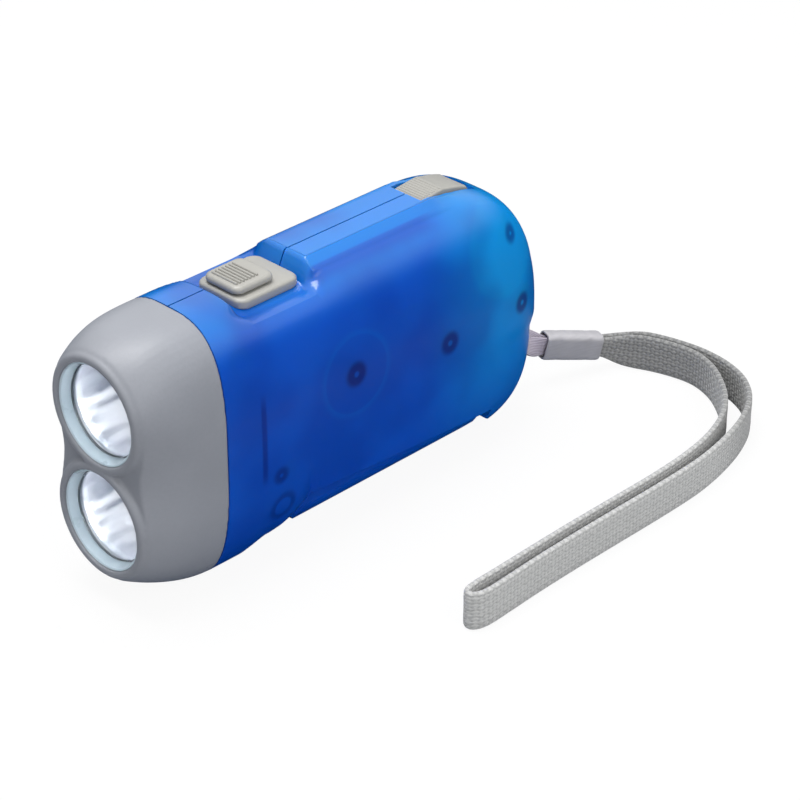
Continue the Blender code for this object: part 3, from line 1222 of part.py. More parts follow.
def make_spring():
    """Torsion spring round the lever's hub, one leg on the lever and one on the post."""
    points = []
    steps = 12 * SPRING_TURNS
    sweep = SPRING_POST_ANGLE - SPRING_LEVER_ANGLE + 360 * SPRING_TURNS
    for index in range(steps + 1):
        angle = math.radians(SPRING_POST_ANGLE - sweep * index / steps)
        points.append(Vector((at(PIVOT_BACK + SPRING_RADIUS * math.cos(angle)),
                              SPRING_START - SPRING_PITCH * sweep / 360 * index / steps,
                              PIVOT_HEIGHT + SPRING_RADIUS * math.sin(angle))))
    post_end = step_from((points[0].x, points[0].z), SPRING_POST_ANGLE + 90, SPRING_POST_LEG)
    lever_end = step_from((points[-1].x, points[-1].z), SPRING_LEVER_ANGLE - 90, SPRING_LEVER_LEG)
    points.insert(0, Vector((post_end[0], points[0].y, post_end[1])))
    points.append(Vector((lever_end[0], points[-1].y, lever_end[1])))
    add("lever_spring", tube_path(points, SPRING_WIRE / 2, 6), STEEL, 0.3, 1.0)


def make_screws():
    """Three screws from the far side."""
    for number, (back, height) in enumerate(SCREW_PLACES, 1):
        seat = side_reach(back, height) - SCREW_SINK + GAP
        profile = ((seat - SCREW_LENGTH, 0), (seat - SCREW_LENGTH + SCREW_RADIUS, SCREW_RADIUS),
                   (seat, SCREW_RADIUS), (seat, SCREW_HEAD_RADIUS),
                   (seat + SCREW_HEAD_HEIGHT / 2, SCREW_HEAD_RADIUS),
                   (seat + SCREW_HEAD_HEIGHT, SCREW_HEAD_RADIUS / 2))
        add("screw_%d" % number, turned(profile, along_y(back, height), 16), STEEL, 0.3, 1.0)


def ribbon(points, width_at, thickness):
    """Flat band through (x, y, z, turn) points; turn tips its width from upright."""
    rings = []
    count = len(points)
    for index, point in enumerate(points):
        ahead = (points[min(index + 1, count - 1)] - points[max(index - 1, 0)]).to_3d().normalized()
        level = ahead.cross(Vector((0, 0, 1))).normalized()
        upright = level.cross(ahead).normalized()
        turn = math.radians(point[3]) if len(point) > 3 else 0
        wide = upright * math.cos(turn) + level * math.sin(turn)
        thin = level * math.cos(turn) - upright * math.sin(turn)
        half = width_at(index / (count - 1)) / 2
        spot = point.to_3d()
        rings.append([spot + wide * half + thin * thickness / 2, spot + wide * half - thin * thickness / 2,
                      spot - wide * half - thin * thickness / 2, spot - wide * half + thin * thickness / 2])
    return loft(rings)


def placed(route, start):
    """Route points in the world, their first number measured back from start."""
    return [(at(start + point[0]),) + tuple(point[1:]) for point in route]


def strap_width(share):
    """Width of the webbing along its length: drawn in at both ends by the ferrule."""
    edge = min(share, 1 - share) * len(STRAP_ROUTE)
    ease = min(max((edge - 1) / 3, 0), 1)
    return STRAP_END_WIDTH + (STRAP_WIDTH - STRAP_END_WIDTH) * ease * ease * (3 - 2 * ease)


def make_lanyard():
    """Lanyard pin, tie loop, ferrule and wrist strap."""
    end = side_reach(PIN_BACK, PIN_HEIGHT) - WALL - GAP
    add("lanyard_pin", rod(PIN_BACK, PIN_HEIGHT, PIN_RADIUS, -end, end, 16), STEEL, 0.3, 1.0)
    front, rear = [Vector(point) for point in placed((FERRULE_FRONT, FERRULE_REAR), BODY_LENGTH)]
    ahead = (rear - front).normalized()
    level = ahead.cross(Vector((0, 0, 1))).normalized()
    upright = level.cross(ahead)

    def sleeve_ring(spot, half_thick, half_tall):
        ring = []
        bevel = min(half_thick, half_tall) / 3
        corners = ((half_thick, half_tall), (-half_thick, half_tall), (-half_thick, -half_tall),
                   (half_thick, -half_tall))
        for thick, tall in corners:
            inward_thick = math.copysign(abs(thick) - bevel, thick)
            inward_tall = math.copysign(abs(tall) - bevel, tall)
            pair = [(thick, inward_tall), (inward_thick, tall)]
            if thick * tall < 0:
                pair.reverse()
            for across, rise in pair:
                ring.append(spot + level * across + upright * rise)
        return ring

    sleeve = add("strap_ferrule", loft([sleeve_ring(front, FERRULE_HALF_THICKNESS, FERRULE_HALF_HEIGHT),
                                        sleeve_ring(rear, FERRULE_HALF_THICKNESS, FERRULE_HALF_HEIGHT)]),
                 STEEL, 0.35, 0.6)
    cut(sleeve, loft([sleeve_ring(front - ahead * CUT, FERRULE_HALF_THICKNESS - FERRULE_WALL,
                                  FERRULE_HALF_HEIGHT - FERRULE_WALL),
                      sleeve_ring(rear + ahead * CUT, FERRULE_HALF_THICKNESS - FERRULE_WALL,
                                  FERRULE_HALF_HEIGHT - FERRULE_WALL)]))
    webbing = smooth(placed(STRAP_ROUTE, BODY_LENGTH), STRAP_STEPS)
    add("strap_webbing", ribbon(webbing, strap_width, STRAP_THICKNESS), WEBBING, 0.9)
    tie = smooth(placed(TIE_ROUTE, BODY_LENGTH), TIE_STEPS)
    add("strap_tie", ribbon(tie, lambda share: TIE_WIDTH, TIE_THICKNESS), SATIN, 0.6)


def pivot_on(spot, *names):
    """Moves the origins of moving pieces to their joint's axis."""
    origin = Vector((at(spot[0]), 0, spot[1]))
    for name in names:
        piece = bpy.data.objects[name]
        piece.data.transform(Matrix.Translation(-origin))
        piece.location = origin


def make_leads():
    """Two insulated leads from the coil to the lamp board."""
    leads = (("coil_lead_red", RED_LEAD_ROUTE, RED), ("coil_lead_black", BLACK_LEAD_ROUTE, BLACK))
    for name, route, colour in leads:
        points = [point.to_3d() for point in smooth(placed(route, 0), LEAD_STEPS)]
        add(name, tube_path(points, LEAD_RADIUS, 8), colour, 0.4)


def main():
    for item in list(bpy.data.objects):
        bpy.data.objects.remove(item)
    outer = body_solid(0, HEAD_LENGTH + GAP)
    middle = body_solid(WALL / 2, HEAD_LENGTH - CUT)
    inner = body_solid(WALL, HEAD_LENGTH - CUT)
    housing("housing_left", -1, outer, middle, inner)
    housing("housing_right", 1, outer, middle, inner)
    for form in (outer, middle, inner):
        bpy.data.objects.remove(form)
    make_head()
    make_lamps()
    make_switch()
    make_lock()
    make_lever()
    make_sector()
    make_gears()
    make_generator()
    make_cells()
    make_spring()
    make_screws()
    make_lanyard()
    make_leads()
    pivot_on(PIVOT, "squeeze_lever", "lever_sector_gear")
    pivot_on(DRIVE, "drive_gear")
    pivot_on(IDLER, "idler_gear")
    pivot_on(ROTOR, "rotor_hub", "rotor_magnet")
    pivot_on((KNOB_START, SHELF_HEIGHT), "switch_slider")
    pivot_on((LOCK_START, BARREL_HEIGHT), "lock_slider", "latch_bar")


main()
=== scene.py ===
import math

import bmesh
import bpy
from mathutils import Matrix, Vector


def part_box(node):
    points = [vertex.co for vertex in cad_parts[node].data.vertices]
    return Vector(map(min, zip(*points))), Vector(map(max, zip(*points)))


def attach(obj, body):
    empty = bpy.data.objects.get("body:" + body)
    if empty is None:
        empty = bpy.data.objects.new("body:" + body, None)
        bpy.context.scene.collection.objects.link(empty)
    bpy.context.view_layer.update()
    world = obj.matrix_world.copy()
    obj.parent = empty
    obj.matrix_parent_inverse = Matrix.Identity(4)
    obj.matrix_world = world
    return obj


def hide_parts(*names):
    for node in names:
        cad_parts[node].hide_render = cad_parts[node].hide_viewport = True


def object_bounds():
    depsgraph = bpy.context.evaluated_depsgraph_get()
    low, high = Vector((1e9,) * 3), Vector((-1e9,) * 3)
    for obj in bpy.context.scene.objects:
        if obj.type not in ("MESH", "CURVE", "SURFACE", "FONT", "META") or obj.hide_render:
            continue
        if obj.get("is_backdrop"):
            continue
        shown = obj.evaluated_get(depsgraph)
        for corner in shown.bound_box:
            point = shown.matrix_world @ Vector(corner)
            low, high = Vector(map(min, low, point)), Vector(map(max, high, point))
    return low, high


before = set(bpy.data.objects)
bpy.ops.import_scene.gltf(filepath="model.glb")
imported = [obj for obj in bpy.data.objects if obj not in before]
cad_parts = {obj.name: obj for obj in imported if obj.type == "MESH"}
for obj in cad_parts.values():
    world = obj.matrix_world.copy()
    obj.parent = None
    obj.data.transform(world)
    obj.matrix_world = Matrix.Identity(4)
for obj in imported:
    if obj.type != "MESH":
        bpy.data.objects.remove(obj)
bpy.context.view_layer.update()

# The torch is seen from its front left side and from above, through a long portrait lens.
# Every place behind the lamp lips is turned into world X by at(), and the camera hangs on it too.
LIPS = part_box("head_shroud")[0].x
BODY_LENGTH = 0.1111
FOCAL_LENGTH = 126
CAMERA_ANGLES = (45.5, 31.0, 0.2)
CAMERA_PLACE = (-0.2709, -0.3445, 0.3058)


def at(back):
    """World X of a distance behind the lamp lips."""
    return back + LIPS


def aim(azimuth, elevation, roll, place):
    """Camera matrix that looks down at elevation from azimuth, in degrees."""
    turn, tip, lean = (math.radians(angle) for angle in (azimuth, elevation, roll))
    ahead = Vector((math.sin(turn) * math.cos(tip), math.cos(turn) * math.cos(tip), -math.sin(tip)))
    level = Vector((math.cos(turn), -math.sin(turn), 0))
    upright = level.cross(ahead)
    right = level * math.cos(lean) + upright * math.sin(lean)
    top = upright * math.cos(lean) - level * math.sin(lean)
    matrix = Matrix((right, top, -ahead)).transposed().to_4x4()
    matrix.translation = place
    return matrix


lens = bpy.data.cameras.new("camera")
lens.lens = FOCAL_LENGTH
lens.sensor_width = 36
lens.clip_start = 0.01
camera = bpy.data.objects.new("camera", lens)
camera.matrix_world = aim(*CAMERA_ANGLES, (at(CAMERA_PLACE[0]), *CAMERA_PLACE[1:]))
bpy.context.scene.collection.objects.link(camera)
bpy.context.scene.camera = camera
bpy.context.scene.view_settings.view_transform = "Standard"


class Socket:
    """A shader socket: sums on it add Math nodes, and node() adds any other node."""

    def __init__(self, tree, link=None):
        self.tree = tree
        self.link = link

    def node(self, kind, settings=None, inputs=None, output=0):
        made = self.tree.nodes.new("ShaderNode" + kind)
        for name, value in (settings or {}).items():
            setattr(made, name, value)
        for place, value in (inputs or {}).items():
            if isinstance(value, Socket):
                self.tree.links.new(value.link, made.inputs[place])
            else:
                made.inputs[place].default_value = value
        return Socket(self.tree, made.outputs[output])

    def maths(self, operation, first, second=0.0):
        return self.node("Math", {"operation": operation}, {0: first, 1: second})

    def __add__(self, other):
        return self.maths("ADD", self, other)

    def __sub__(self, other):
        return self.maths("SUBTRACT", self, other)

    def __rsub__(self, other):
        return self.maths("SUBTRACT", other, self)

    def __mul__(self, other):
        return self.maths("MULTIPLY", self, other)

    __radd__ = __add__
    __rmul__ = __mul__

    def most(self, other):
        """The greater of two values."""
        return self.maths("MAXIMUM", self, other)

    def between(self, low, high):
        """This value taken from low..high to 0..1, clamped and eased."""
        return self.node("MapRange", {"interpolation_type": "SMOOTHSTEP"},
                         {"Value": self, "From Min": low, "From Max": high})

    def falling(self, low, high):
        """This value taken from low..high to 1..0, clamped and eased."""
        return 1.0 - self.between(low, high)

    def parts(self):
        """The three numbers of a vector."""
        split = self.node("SeparateXYZ", None, {0: self}).link.node
        return [Socket(self.tree, output) for output in split.outputs]

    def tint(self, first, second):
        """Colour from first to second as this value goes from 0 to 1."""
        sides = [side if isinstance(side, Socket) else (*side, 1) for side in (first, second)]
        return self.node("Mix", {"data_type": "RGBA"}, {0: self, 6: sides[0], 7: sides[1]}, 2)

    def noise(self, where, scale, detail=2.0, roughness=0.5):
        return self.node("TexNoise", None, {"Vector": where, "Scale": scale, "Detail": detail,
                                            "Roughness": roughness})

    def bump(self, height, distance, strength=1.0):
        return self.node("Bump", None, {"Height": height, "Distance": distance, "Strength": strength})

    def places(self):
        """Where a point of the surface lies."""
        return self.node("TexCoord", output="Object")

    def feed(self, inputs, node="Principled BSDF"):
        """Links values to the sockets of a node that the tree came with."""
        for socket, value in inputs.items():
            self.tree.links.new(value.link, self.tree.nodes[node].inputs[socket])


def finish(name, colour, roughness, metallic=0.0, more=None):
    """A material with its main shader set, and a socket to start its nodes from."""
    material = bpy.data.materials.new(name)
    material.use_nodes = True
    shader = material.node_tree.nodes["Principled BSDF"]
    values = {"Base Color": (*colour, 1), "Roughness": roughness, "Metallic": metallic, **(more or {})}
    for socket, value in values.items():
        shader.inputs[socket].default_value = value
    return material, Socket(material.node_tree)


# The floor is a plain white table, and the room behind the camera is white card.
# One broad soft lamp hangs behind the torch, and weaker ones stand left of it and in front.
TABLE_WHITE = 1.03
ROOM_DIM = 0.40


def ray_kinds(start):
    """Whether a ray comes from the camera, through clear plastic, or off a glossy surface."""
    return [start.node("LightPath", output="Is " + kind + " Ray")
            for kind in ("Camera", "Transmission", "Glossy")]


bpy.ops.mesh.primitive_plane_add(size=6)
floor = bpy.context.object
floor.name = "floor"
floor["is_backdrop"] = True
table, start = finish("table_white", (0.50, 0.50, 0.50), 0.6)
seen, through, mirrored = ray_kinds(start)
plain = Socket(start.tree, start.tree.nodes["Principled BSDF"].outputs[0])
bright = start.node("Emission", None, {"Color": (1, 1, 1, 1), "Strength": TABLE_WHITE})
dim = start.node("Emission", None, {"Color": (0.0, 0.035, 0.12, 1), "Strength": 1.0})
surface = start.node("MixShader", None, {0: (seen * 0.9).most(through * 0.8), 1: plain, 2: bright})
surface = start.node("MixShader", None, {0: mirrored, 1: surface, 2: dim})
start.feed({"Surface": surface}, "Material Output")
floor.data.materials.append(table)

world = bpy.data.worlds.new("room")
world.use_nodes = True
bpy.context.scene.world = world
start = Socket(world.node_tree)
seen, through, mirrored = ray_kinds(start)
ahead, _, above = start.node("TexCoord", output="Generated").parts()
ceiling = above.between(0.0, 0.5)
facing = (ahead * -1.0).between(0.3, 0.9)
reflected = (ceiling * 1.15).most(facing * 0.6)
other = (1.0 - seen) * (1.0 - through) * (1.0 - mirrored)
level = seen.most(through * 0.9).most(mirrored * reflected).most(other * (ROOM_DIM + ceiling * 0.35))
shade = seen.most(through).most(ceiling).tint((0.72, 0.84, 1.0), (1.0, 1.0, 1.0))
start.feed({"Strength": level, "Color": shade}, "Background")

for name, place, size, power, in_gloss in (("top_lamp", (-0.05, 0.08, 0.65), 0.36, 3.9, True),
                                           ("key_lamp", (0.02, -0.45, 0.42), 0.24, 1.0, False),
                                           ("fill_lamp", (-0.20, -0.60, 0.30), 0.40, 0.60, False)):
    light = bpy.data.lights.new(name, "AREA")
    light.size = size
    light.energy = power
    lamp = bpy.data.objects.new(name, light)
    lamp.location = place
    lamp.visible_glossy = in_gloss
    aim_at = Vector((0, 0, 0.03)) - lamp.location
    lamp.rotation_euler = aim_at.to_track_quat("-Z", "Y").to_euler()
    bpy.context.scene.collection.objects.link(lamp)


# The wrist strap is one length of flat braided polyester tube, folded in a loop.
# Both of its ends are pinched in a crimped sleeve, and it lies on its edge on the table.
STRAP_ROUTE = (
    (0.0184, -0.00690, 0.0063), (0.0208, -0.00765, 0.0057), (0.0236, -0.0093, 0.0050),
    (0.0265, -0.0122, 0.0044), (0.0291, -0.0166, 0.0043), (0.0308, -0.0225, 0.0043),
    (0.0316, -0.0290, 0.0043), (0.0308, -0.0360, 0.0043), (0.0281, -0.0425, 0.0043),
    (0.0232, -0.0477, 0.0043), (0.0161, -0.0515, 0.0043), (0.0074, -0.0541, 0.0043),
    (-0.0026, -0.0557, 0.0043), (-0.0141, -0.0561, 0.0043), (-0.0271, -0.0561, 0.0043),
    (-0.0391, -0.0561, 0.0043), (-0.0511, -0.0563, 0.0043), (-0.0601, -0.0567, 0.0043),
    (-0.0660, -0.0568, 0.0043), (-0.0687, -0.0558, 0.0043), (-0.0686, -0.0541, 0.0043),
    (-0.0659, -0.0535, 0.0043), (-0.0601, -0.0534, 0.0043), (-0.0511, -0.0532, 0.0043),
    (-0.0391, -0.0530, 0.0043), (-0.0271, -0.0530, 0.0043), (-0.0141, -0.0530, 0.0043),
    (-0.0031, -0.0524, 0.0043), (0.0062, -0.0508, 0.0043), (0.0142, -0.0478, 0.0043),
    (0.0202, -0.0437, 0.0043), (0.0247, -0.0388, 0.0043), (0.0280, -0.0336, 0.0043),
    (0.0296, -0.0280, 0.0043), (0.0291, -0.0225, 0.0043), (0.0273, -0.0168, 0.0043),
    (0.0248, -0.0127, 0.0044), (0.0225, -0.0104, 0.0050), (0.0202, -0.00915, 0.0057),
    (0.0179, -0.00840, 0.0063),
)
STRAP_WIDTH = 0.0083
STRAP_END_WIDTH = 0.0042
STRAP_THICKNESS = 0.0013


def smooth(points, steps):
    """Smooth curve through given points, each a tuple of numbers."""
    result = []
    last = len(points) - 1
    for index in range(last):
        before, here = Vector(points[max(index - 1, 0)]), Vector(points[index])
        after, beyond = Vector(points[index + 1]), Vector(points[min(index + 2, last)])
        for number in range(steps):
            share = number / steps
            result.append((here * 2 + (after - before) * share
                           + (before * 2 - here * 5 + after * 4 - beyond) * share ** 2
                           + (here * 3 - before - after * 3 + beyond) * share ** 3) / 2)
    result.append(Vector(points[last]))
    return result


def behind(route):
    """Route points in the world, their first number measured back from the body's end."""
    return [(at(BODY_LENGTH + point[0]),) + tuple(point[1:]) for point in route]


def dressed(thing, material, angle=35):
    """Smooth shading with sharp edges past an angle, and one material all over."""
    thing.data.shade_smooth()
    thing.data.set_sharp_from_angle(angle=math.radians(angle))
    thing.data.materials.clear()
    thing.data.materials.append(material)


def link(name, mesh, material, angle=35):
    """A new object of a mesh, dressed."""
    made = bpy.data.objects.new(name, mesh)
    bpy.context.scene.collection.objects.link(made)
    dressed(made, material, angle)
    return made


def meshed(shape, name):
    """A new mesh of a shape, which is let go."""
    mesh = bpy.data.meshes.new(name)
    shape.to_mesh(mesh)
    shape.free()
    return mesh


def band(name, points, width_at, section, material):
    """Band along (x, y, z, turn) points; section lists (across, through) shares of its ring."""
    shape = bmesh.new()
    layer = shape.loops.layers.uv.new("weave")
    rings, lengths, along = [], [], 0.0
    count = len(points)
    for index, point in enumerate(points):
        ahead = (points[min(index + 1, count - 1)] - points[max(index - 1, 0)]).to_3d().normalized()
        side = ahead.cross(Vector((0, 0, 1))).normalized()
        upright = side.cross(ahead).normalized()
        turn = math.radians(point[3]) if len(point) > 3 else 0
        wide = upright * math.cos(turn) + side * math.sin(turn)
        thin = side * math.cos(turn) - upright * math.sin(turn)
        half, thick = width_at(index / (count - 1))
        if index:
            along += (point.to_3d() - points[index - 1].to_3d()).length
        lengths.append(along)
        rings.append([shape.verts.new(point.to_3d() + wide * half * across + thin * thick * through)
                      for across, through in section])
    size = len(section)
    for index in range(count - 1):
        half = width_at(index / (count - 1))[0]
        for number in range(size):
            after = (number + 1) % size
            face = shape.faces.new((rings[index][number], rings[index][after],
                                    rings[index + 1][after], rings[index + 1][number]))
            corners = ((index, number), (index, after), (index + 1, after), (index + 1, number))
            for loop, (row, spot) in zip(face.loops, corners):
                loop[layer].uv = (lengths[row], section[spot][0] * half)
    shape.faces.new(reversed(rings[0]))
    shape.faces.new(rings[-1])
    bmesh.ops.recalc_face_normals(shape, faces=shape.faces)
    return link(name, meshed(shape, name), material, 50)


def eased(value, low, high):
    """Smooth step of a value between two limits."""
    share = min(max((value - low) / (high - low), 0), 1)
    return share * share * (3 - 2 * share)


def strap_size(share):
    """Half width and half thickness along the strap, drawn in at both ends by the sleeve."""
    ease = eased(min(share, 1 - share) * len(STRAP_ROUTE), 1, 4)
    return (STRAP_END_WIDTH + (STRAP_WIDTH - STRAP_END_WIDTH) * ease) / 2, STRAP_THICKNESS / 2


EDGE = [(1.0, 0.0), (0.97, 0.62), (0.86, 0.92), (0.55, 1.0), (0.2, 0.94)]
FLAT_TUBE = EDGE + [(-across, through) for across, through in reversed(EDGE)]
FLAT_TUBE += [(-across, -through) for across, through in FLAT_TUBE[1:-1]]
PLAIT = 2 * math.pi / 0.0020
CHECK_WIDTH = 0.00083

braid, start = finish("braided_polyester", (0.44, 0.44, 0.43), 0.85,
                      more={"Sheen Weight": 0.35, "Sheen Roughness": 0.5})
length, across, _ = start.node("UVMap").parts()
one = start.maths("SINE", (length + across * 1.3) * PLAIT)
two = start.maths("SINE", (length - across * 1.3) * PLAIT)
checks = start.maths("SINE", across * (math.pi / CHECK_WIDTH)) * 0.5 + 0.5
plait = (one * two) * 0.35 + (one * 0.3 + two * 0.3) * checks + 0.5
where = start.places()
fibre = start.noise(where, 2600.0, 3.0)
wear = start.noise(where, 60.0, 3.0)
shade = plait.between(0.05, 0.60) * 0.62 + fibre * 0.30
along, aside, _ = where.parts()
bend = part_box("strap_webbing")[1].x
# Painted light and shade: the weave is drawn in a lit copy on the near run and in a darker copy near the
# sleeve and round the bend behind the body.
painted_lighting = aside.falling(-0.055, -0.012) * (1.0 - along.between(bend - 0.032, bend - 0.010) * 0.85)
shade = painted_lighting.tint(shade.tint((0.09, 0.09, 0.09), (0.27, 0.27, 0.265)),
                  shade.tint((0.24, 0.24, 0.237), (0.50, 0.50, 0.49)))
start.feed({"Base Color": shade, "Roughness": 0.75 + wear * 0.2,
            "Normal": start.bump(plait + fibre * 0.5, 0.0002, 0.9)})

strap_path = smooth(behind(STRAP_ROUTE), 6)
strap = band("wrist_strap", strap_path, strap_size, FLAT_TUBE, braid)
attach(strap, "housing")
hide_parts("strap_webbing")

# The tie is a doubled satin tape that passes round the pin at the rear end.
# Its two ends go into the front of the sleeve, one over the other.
TIE_ROUTE = (
    (0.0104, -0.0040, 0.0084, 0), (0.0076, -0.0029, 0.0091, 0), (0.0049, -0.0023, 0.0112, 35),
    (0.0017, -0.0016, 0.0136, 70), (-0.0019, -0.0010, 0.0153, 90), (-0.0051, -0.0008, 0.0159, 90),
    (-0.0068, -0.0008, 0.0153, 90), (-0.0074, -0.0008, 0.0140, 90), (-0.0068, -0.0008, 0.0127, 90),
    (-0.0051, -0.0008, 0.0121, 90), (-0.0019, -0.0010, 0.0121, 90), (0.0017, -0.0022, 0.0110, 110),
    (0.0049, -0.0034, 0.0096, 145), (0.0074, -0.0043, 0.0091, 180), (0.0100, -0.0054, 0.0084, 180),
)
TIE_WIDTH = 0.0042
TIE_THICKNESS = 0.0008
TIE_STEPS = 5
satin, start = finish("satin_tape", (0.50, 0.46, 0.54), 0.45, more={"Sheen Weight": 0.4})
threads = start.node("TexWave", {"wave_type": "BANDS", "bands_direction": "Y"},
                     {"Vector": start.node("UVMap"), "Scale": 900.0, "Distortion": 0.6})
start.feed({"Base Color": threads.tint((0.22, 0.19, 0.23), (0.42, 0.38, 0.45)),
            "Roughness": 0.35 + threads * 0.2, "Normal": start.bump(threads, 0.00008, 0.7)})
tie_path = smooth(behind(TIE_ROUTE), TIE_STEPS)
tie = band("strap_tie_tape", tie_path, lambda share: (TIE_WIDTH / 2, TIE_THICKNESS / 2),
           FLAT_TUBE, satin)
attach(tie, "housing")
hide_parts("strap_tie")

# The sleeve is a strip of pale satin metal folded flat round the tie and the strap.
# A crimping tool has pressed two shallow dents across it.
SLEEVE_FRONT = (0.0079, -0.0038, 0.0090)
SLEEVE_REAR = (0.0205, -0.0084, 0.0057)
SLEEVE_HALF_THICKNESS = 0.0021
SLEEVE_HALF_HEIGHT = 0.0030
SLEEVE_WALL = 0.0004
SLEEVE_ROWS = 24
DENTS = (0.24, 0.78)
DENT_WIDTH = 0.05
DENT_DEPTH = 0.00022
MOUTH_EASE = 0.00012
metal, start = finish("crimped_sleeve", (0.62, 0.61, 0.63), 0.38, 0.35)
brushed = start.noise(start.node("Mapping", None, {"Vector": start.places(), "Scale": (300, 300, 2400)}),
                      1.0, 3.0)
start.feed({"Base Color": brushed.tint((0.36, 0.35, 0.37), (0.52, 0.51, 0.53)),
            "Roughness": 0.30 + brushed * 0.25, "Normal": start.bump(brushed, 0.00005, 0.5)})
front, rear = (Vector(point) for point in behind((SLEEVE_FRONT, SLEEVE_REAR)))
ahead = (rear - front).normalized()
level = ahead.cross(Vector((0, 0, 1))).normalized()
upright = level.cross(ahead)


def arc(centre, radius, start, end, steps):
    """Points on an arc, angles in degrees from the first axis towards the second."""
    angles = [math.radians(start + (end - start) * index / steps) for index in range(steps + 1)]
    return [(centre[0] + radius * math.cos(angle), centre[1] + radius * math.sin(angle)) for angle in angles]


def rounded_plan(start, end, half, round_by, steps=8):
    """Outline from start to end and half to each side, with rounded corners."""
    low, high, side = start + round_by, end - round_by, half - round_by
    points = []
    for spot, angle in (((high, side), 0), ((low, side), 90), ((low, -side), 180), ((high, -side), 270)):
        points += arc(spot, round_by, angle, angle + 90, steps)
    return points


def sleeve_ring(spot, thinner, lower):
    """Rounded rectangle across the sleeve, less something each way."""
    thick, tall = SLEEVE_HALF_THICKNESS - thinner, SLEEVE_HALF_HEIGHT - lower
    return [spot + level * through + upright * rise
            for through, rise in rounded_plan(-thick, thick, tall, min(thick, tall) * 0.6, 5)]


def stitched(shape, rows, closed=True):
    """Faces between each row of vertices and the next one; closed rows are rings."""
    count = len(rows[0])
    for here, after in zip(rows, rows[1:]):
        for index in range(count if closed else count - 1):
            follow = (index + 1) % count
            shape.faces.new((here[index], here[follow], after[follow], after[index]))


outer, inner = [], []
for index in range(SLEEVE_ROWS + 1):
    share = index / SLEEVE_ROWS
    dent = DENT_DEPTH * sum(math.exp(-((share - middle) / DENT_WIDTH) ** 2) for middle in DENTS)
    spot = front + (rear - front) * share
    lip = MOUTH_EASE if index in (0, SLEEVE_ROWS) else 0.0
    outer.append(sleeve_ring(spot, dent + lip, lip))
    inner.append(sleeve_ring(spot, SLEEVE_WALL + dent, SLEEVE_WALL))
shape = bmesh.new()
rows = [[shape.verts.new(point) for point in ring] for ring in outer + inner[::-1]]
stitched(shape, rows + rows[:1])
bmesh.ops.recalc_face_normals(shape, faces=shape.faces)
sleeve = link("strap_sleeve", meshed(shape, "strap_sleeve"), metal)
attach(sleeve, "housing")
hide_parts("strap_ferrule")


def reach_of(path):
    """Length along a path."""
    return sum((after.to_3d() - here.to_3d()).length for here, after in zip(path, path[1:]))


tie_loop = tie_path[TIE_STEPS:-TIE_STEPS]
tuple(behind([(-0.0019, -0.0010, 0.0137)])[0])
round(reach_of(tie_loop), 4)
round(reach_of(strap_path), 4)


# The head is one grey moulding with two lipped mouths, pushed into the front of the body.
# Its sides swell from the figure-eight face to the section of the body at the seam.
HEAD_LENGTH = 0.019
MOUTH_RADIUS = 0.0100
LIP_RADIUS = 0.0122
LIP_ROUND = 0.0010
FACE_BACK = 0.0013
FACE_RADIUS = 0.0127
FACE_BLEND = 0.0127
SEAT_RADIUS = 0.0096
RECESS_DEPTH = 0.0034
LAMP_HEIGHTS = (0.018, 0.041)
BARREL_HEIGHT = 0.0564
BELLY_SINK = 0.0004
SPINE_HEIGHT = BARREL_HEIGHT * 0.507
SEAM_HALF_WIDTH = 0.0154
TOP_POWER = 3.15
LOW_POWER = 2.7
WALL = 0.0018
GAP = 0.0003
CUT = 0.002
LINER = 0.0005
HEAD_SIDES = 112
HEAD_ROWS = 24
LIP_LENGTH = 0.004
SPIGOT = (HEAD_LENGTH - 0.001, HEAD_LENGTH + 0.0022)
HOLLOW = (0.011, 0.026)
HOLLOW_INSET = WALL + GAP + 0.0014
SEAT_END = 0.013
SKIN_GRID = 0.00036


def moulded(name, colour, roughness, grain=900.0, depth=0.00004, spread=0.10):
    """Plastic with the fine grain and slight unevenness of a moulding."""
    material, start = finish(name, colour, roughness)
    where = start.places()
    fine = start.noise(where, grain, 4.0)
    broad = start.noise(where, grain / 22, 2.0)
    dark = tuple(part * (1 - spread) for part in colour)
    light = tuple(min(part * (1 + spread), 1.0) for part in colour)
    start.feed({"Base Color": (broad * 0.7 + fine * 0.3).between(0.3, 0.7).tint(dark, light),
                "Roughness": fine.between(0.2, 0.8) * 0.12 + (roughness - 0.06),
                "Normal": start.bump(fine, depth, 0.6)})
    return material


def halve(inside):
    """Largest reach for which inside(reach) holds."""
    low, high = 0.0, BARREL_HEIGHT
    for _ in range(26):
        reach = (low + high) / 2
        if inside(reach):
            low = reach
        else:
            high = reach
    return low


def in_face(reach, angle, middle):
    """Whether a place lies inside the figure-eight face."""
    side, height = reach * math.cos(angle), middle + reach * math.sin(angle)
    first, second = (math.hypot(side, height - lamp) - FACE_RADIUS for lamp in LAMP_HEIGHTS)
    share = max(FACE_BLEND - abs(first - second), 0) / FACE_BLEND
    return min(first, second) - share * share * FACE_BLEND / 4 < 0


def in_seam(reach, angle, middle):
    """Whether a place lies inside the body's section at the seam."""
    side = abs(reach * math.cos(angle)) / SEAM_HALF_WIDTH
    height = middle + reach * math.sin(angle) - SPINE_HEIGHT
    tall, power = (BARREL_HEIGHT - SPINE_HEIGHT, TOP_POWER) if height >= 0 else (
        SPINE_HEIGHT + BELLY_SINK, LOW_POWER)
    return side ** power + (abs(height) / tall) ** power < 1


def loft(rings):
    """Closed solid through rings of equal count, capped at both ends."""
    shape = bmesh.new()
    loops = [[shape.verts.new(point) for point in ring] for ring in rings]
    stitched(shape, loops)
    shape.faces.new(reversed(loops[0]))
    shape.faces.new(loops[-1])
    return shape


def prism(outline, low, high):
    """Side-view outline (back, height) extruded from side low to side high."""
    return loft([[Vector((at(back), side, height)) for back, height in outline] for side in (low, high)])


def block(start, end, half, bottom, top):
    """Box from start to end, half to each side."""
    return prism(((start, bottom), (end, bottom), (end, top), (start, top)), -half, half)


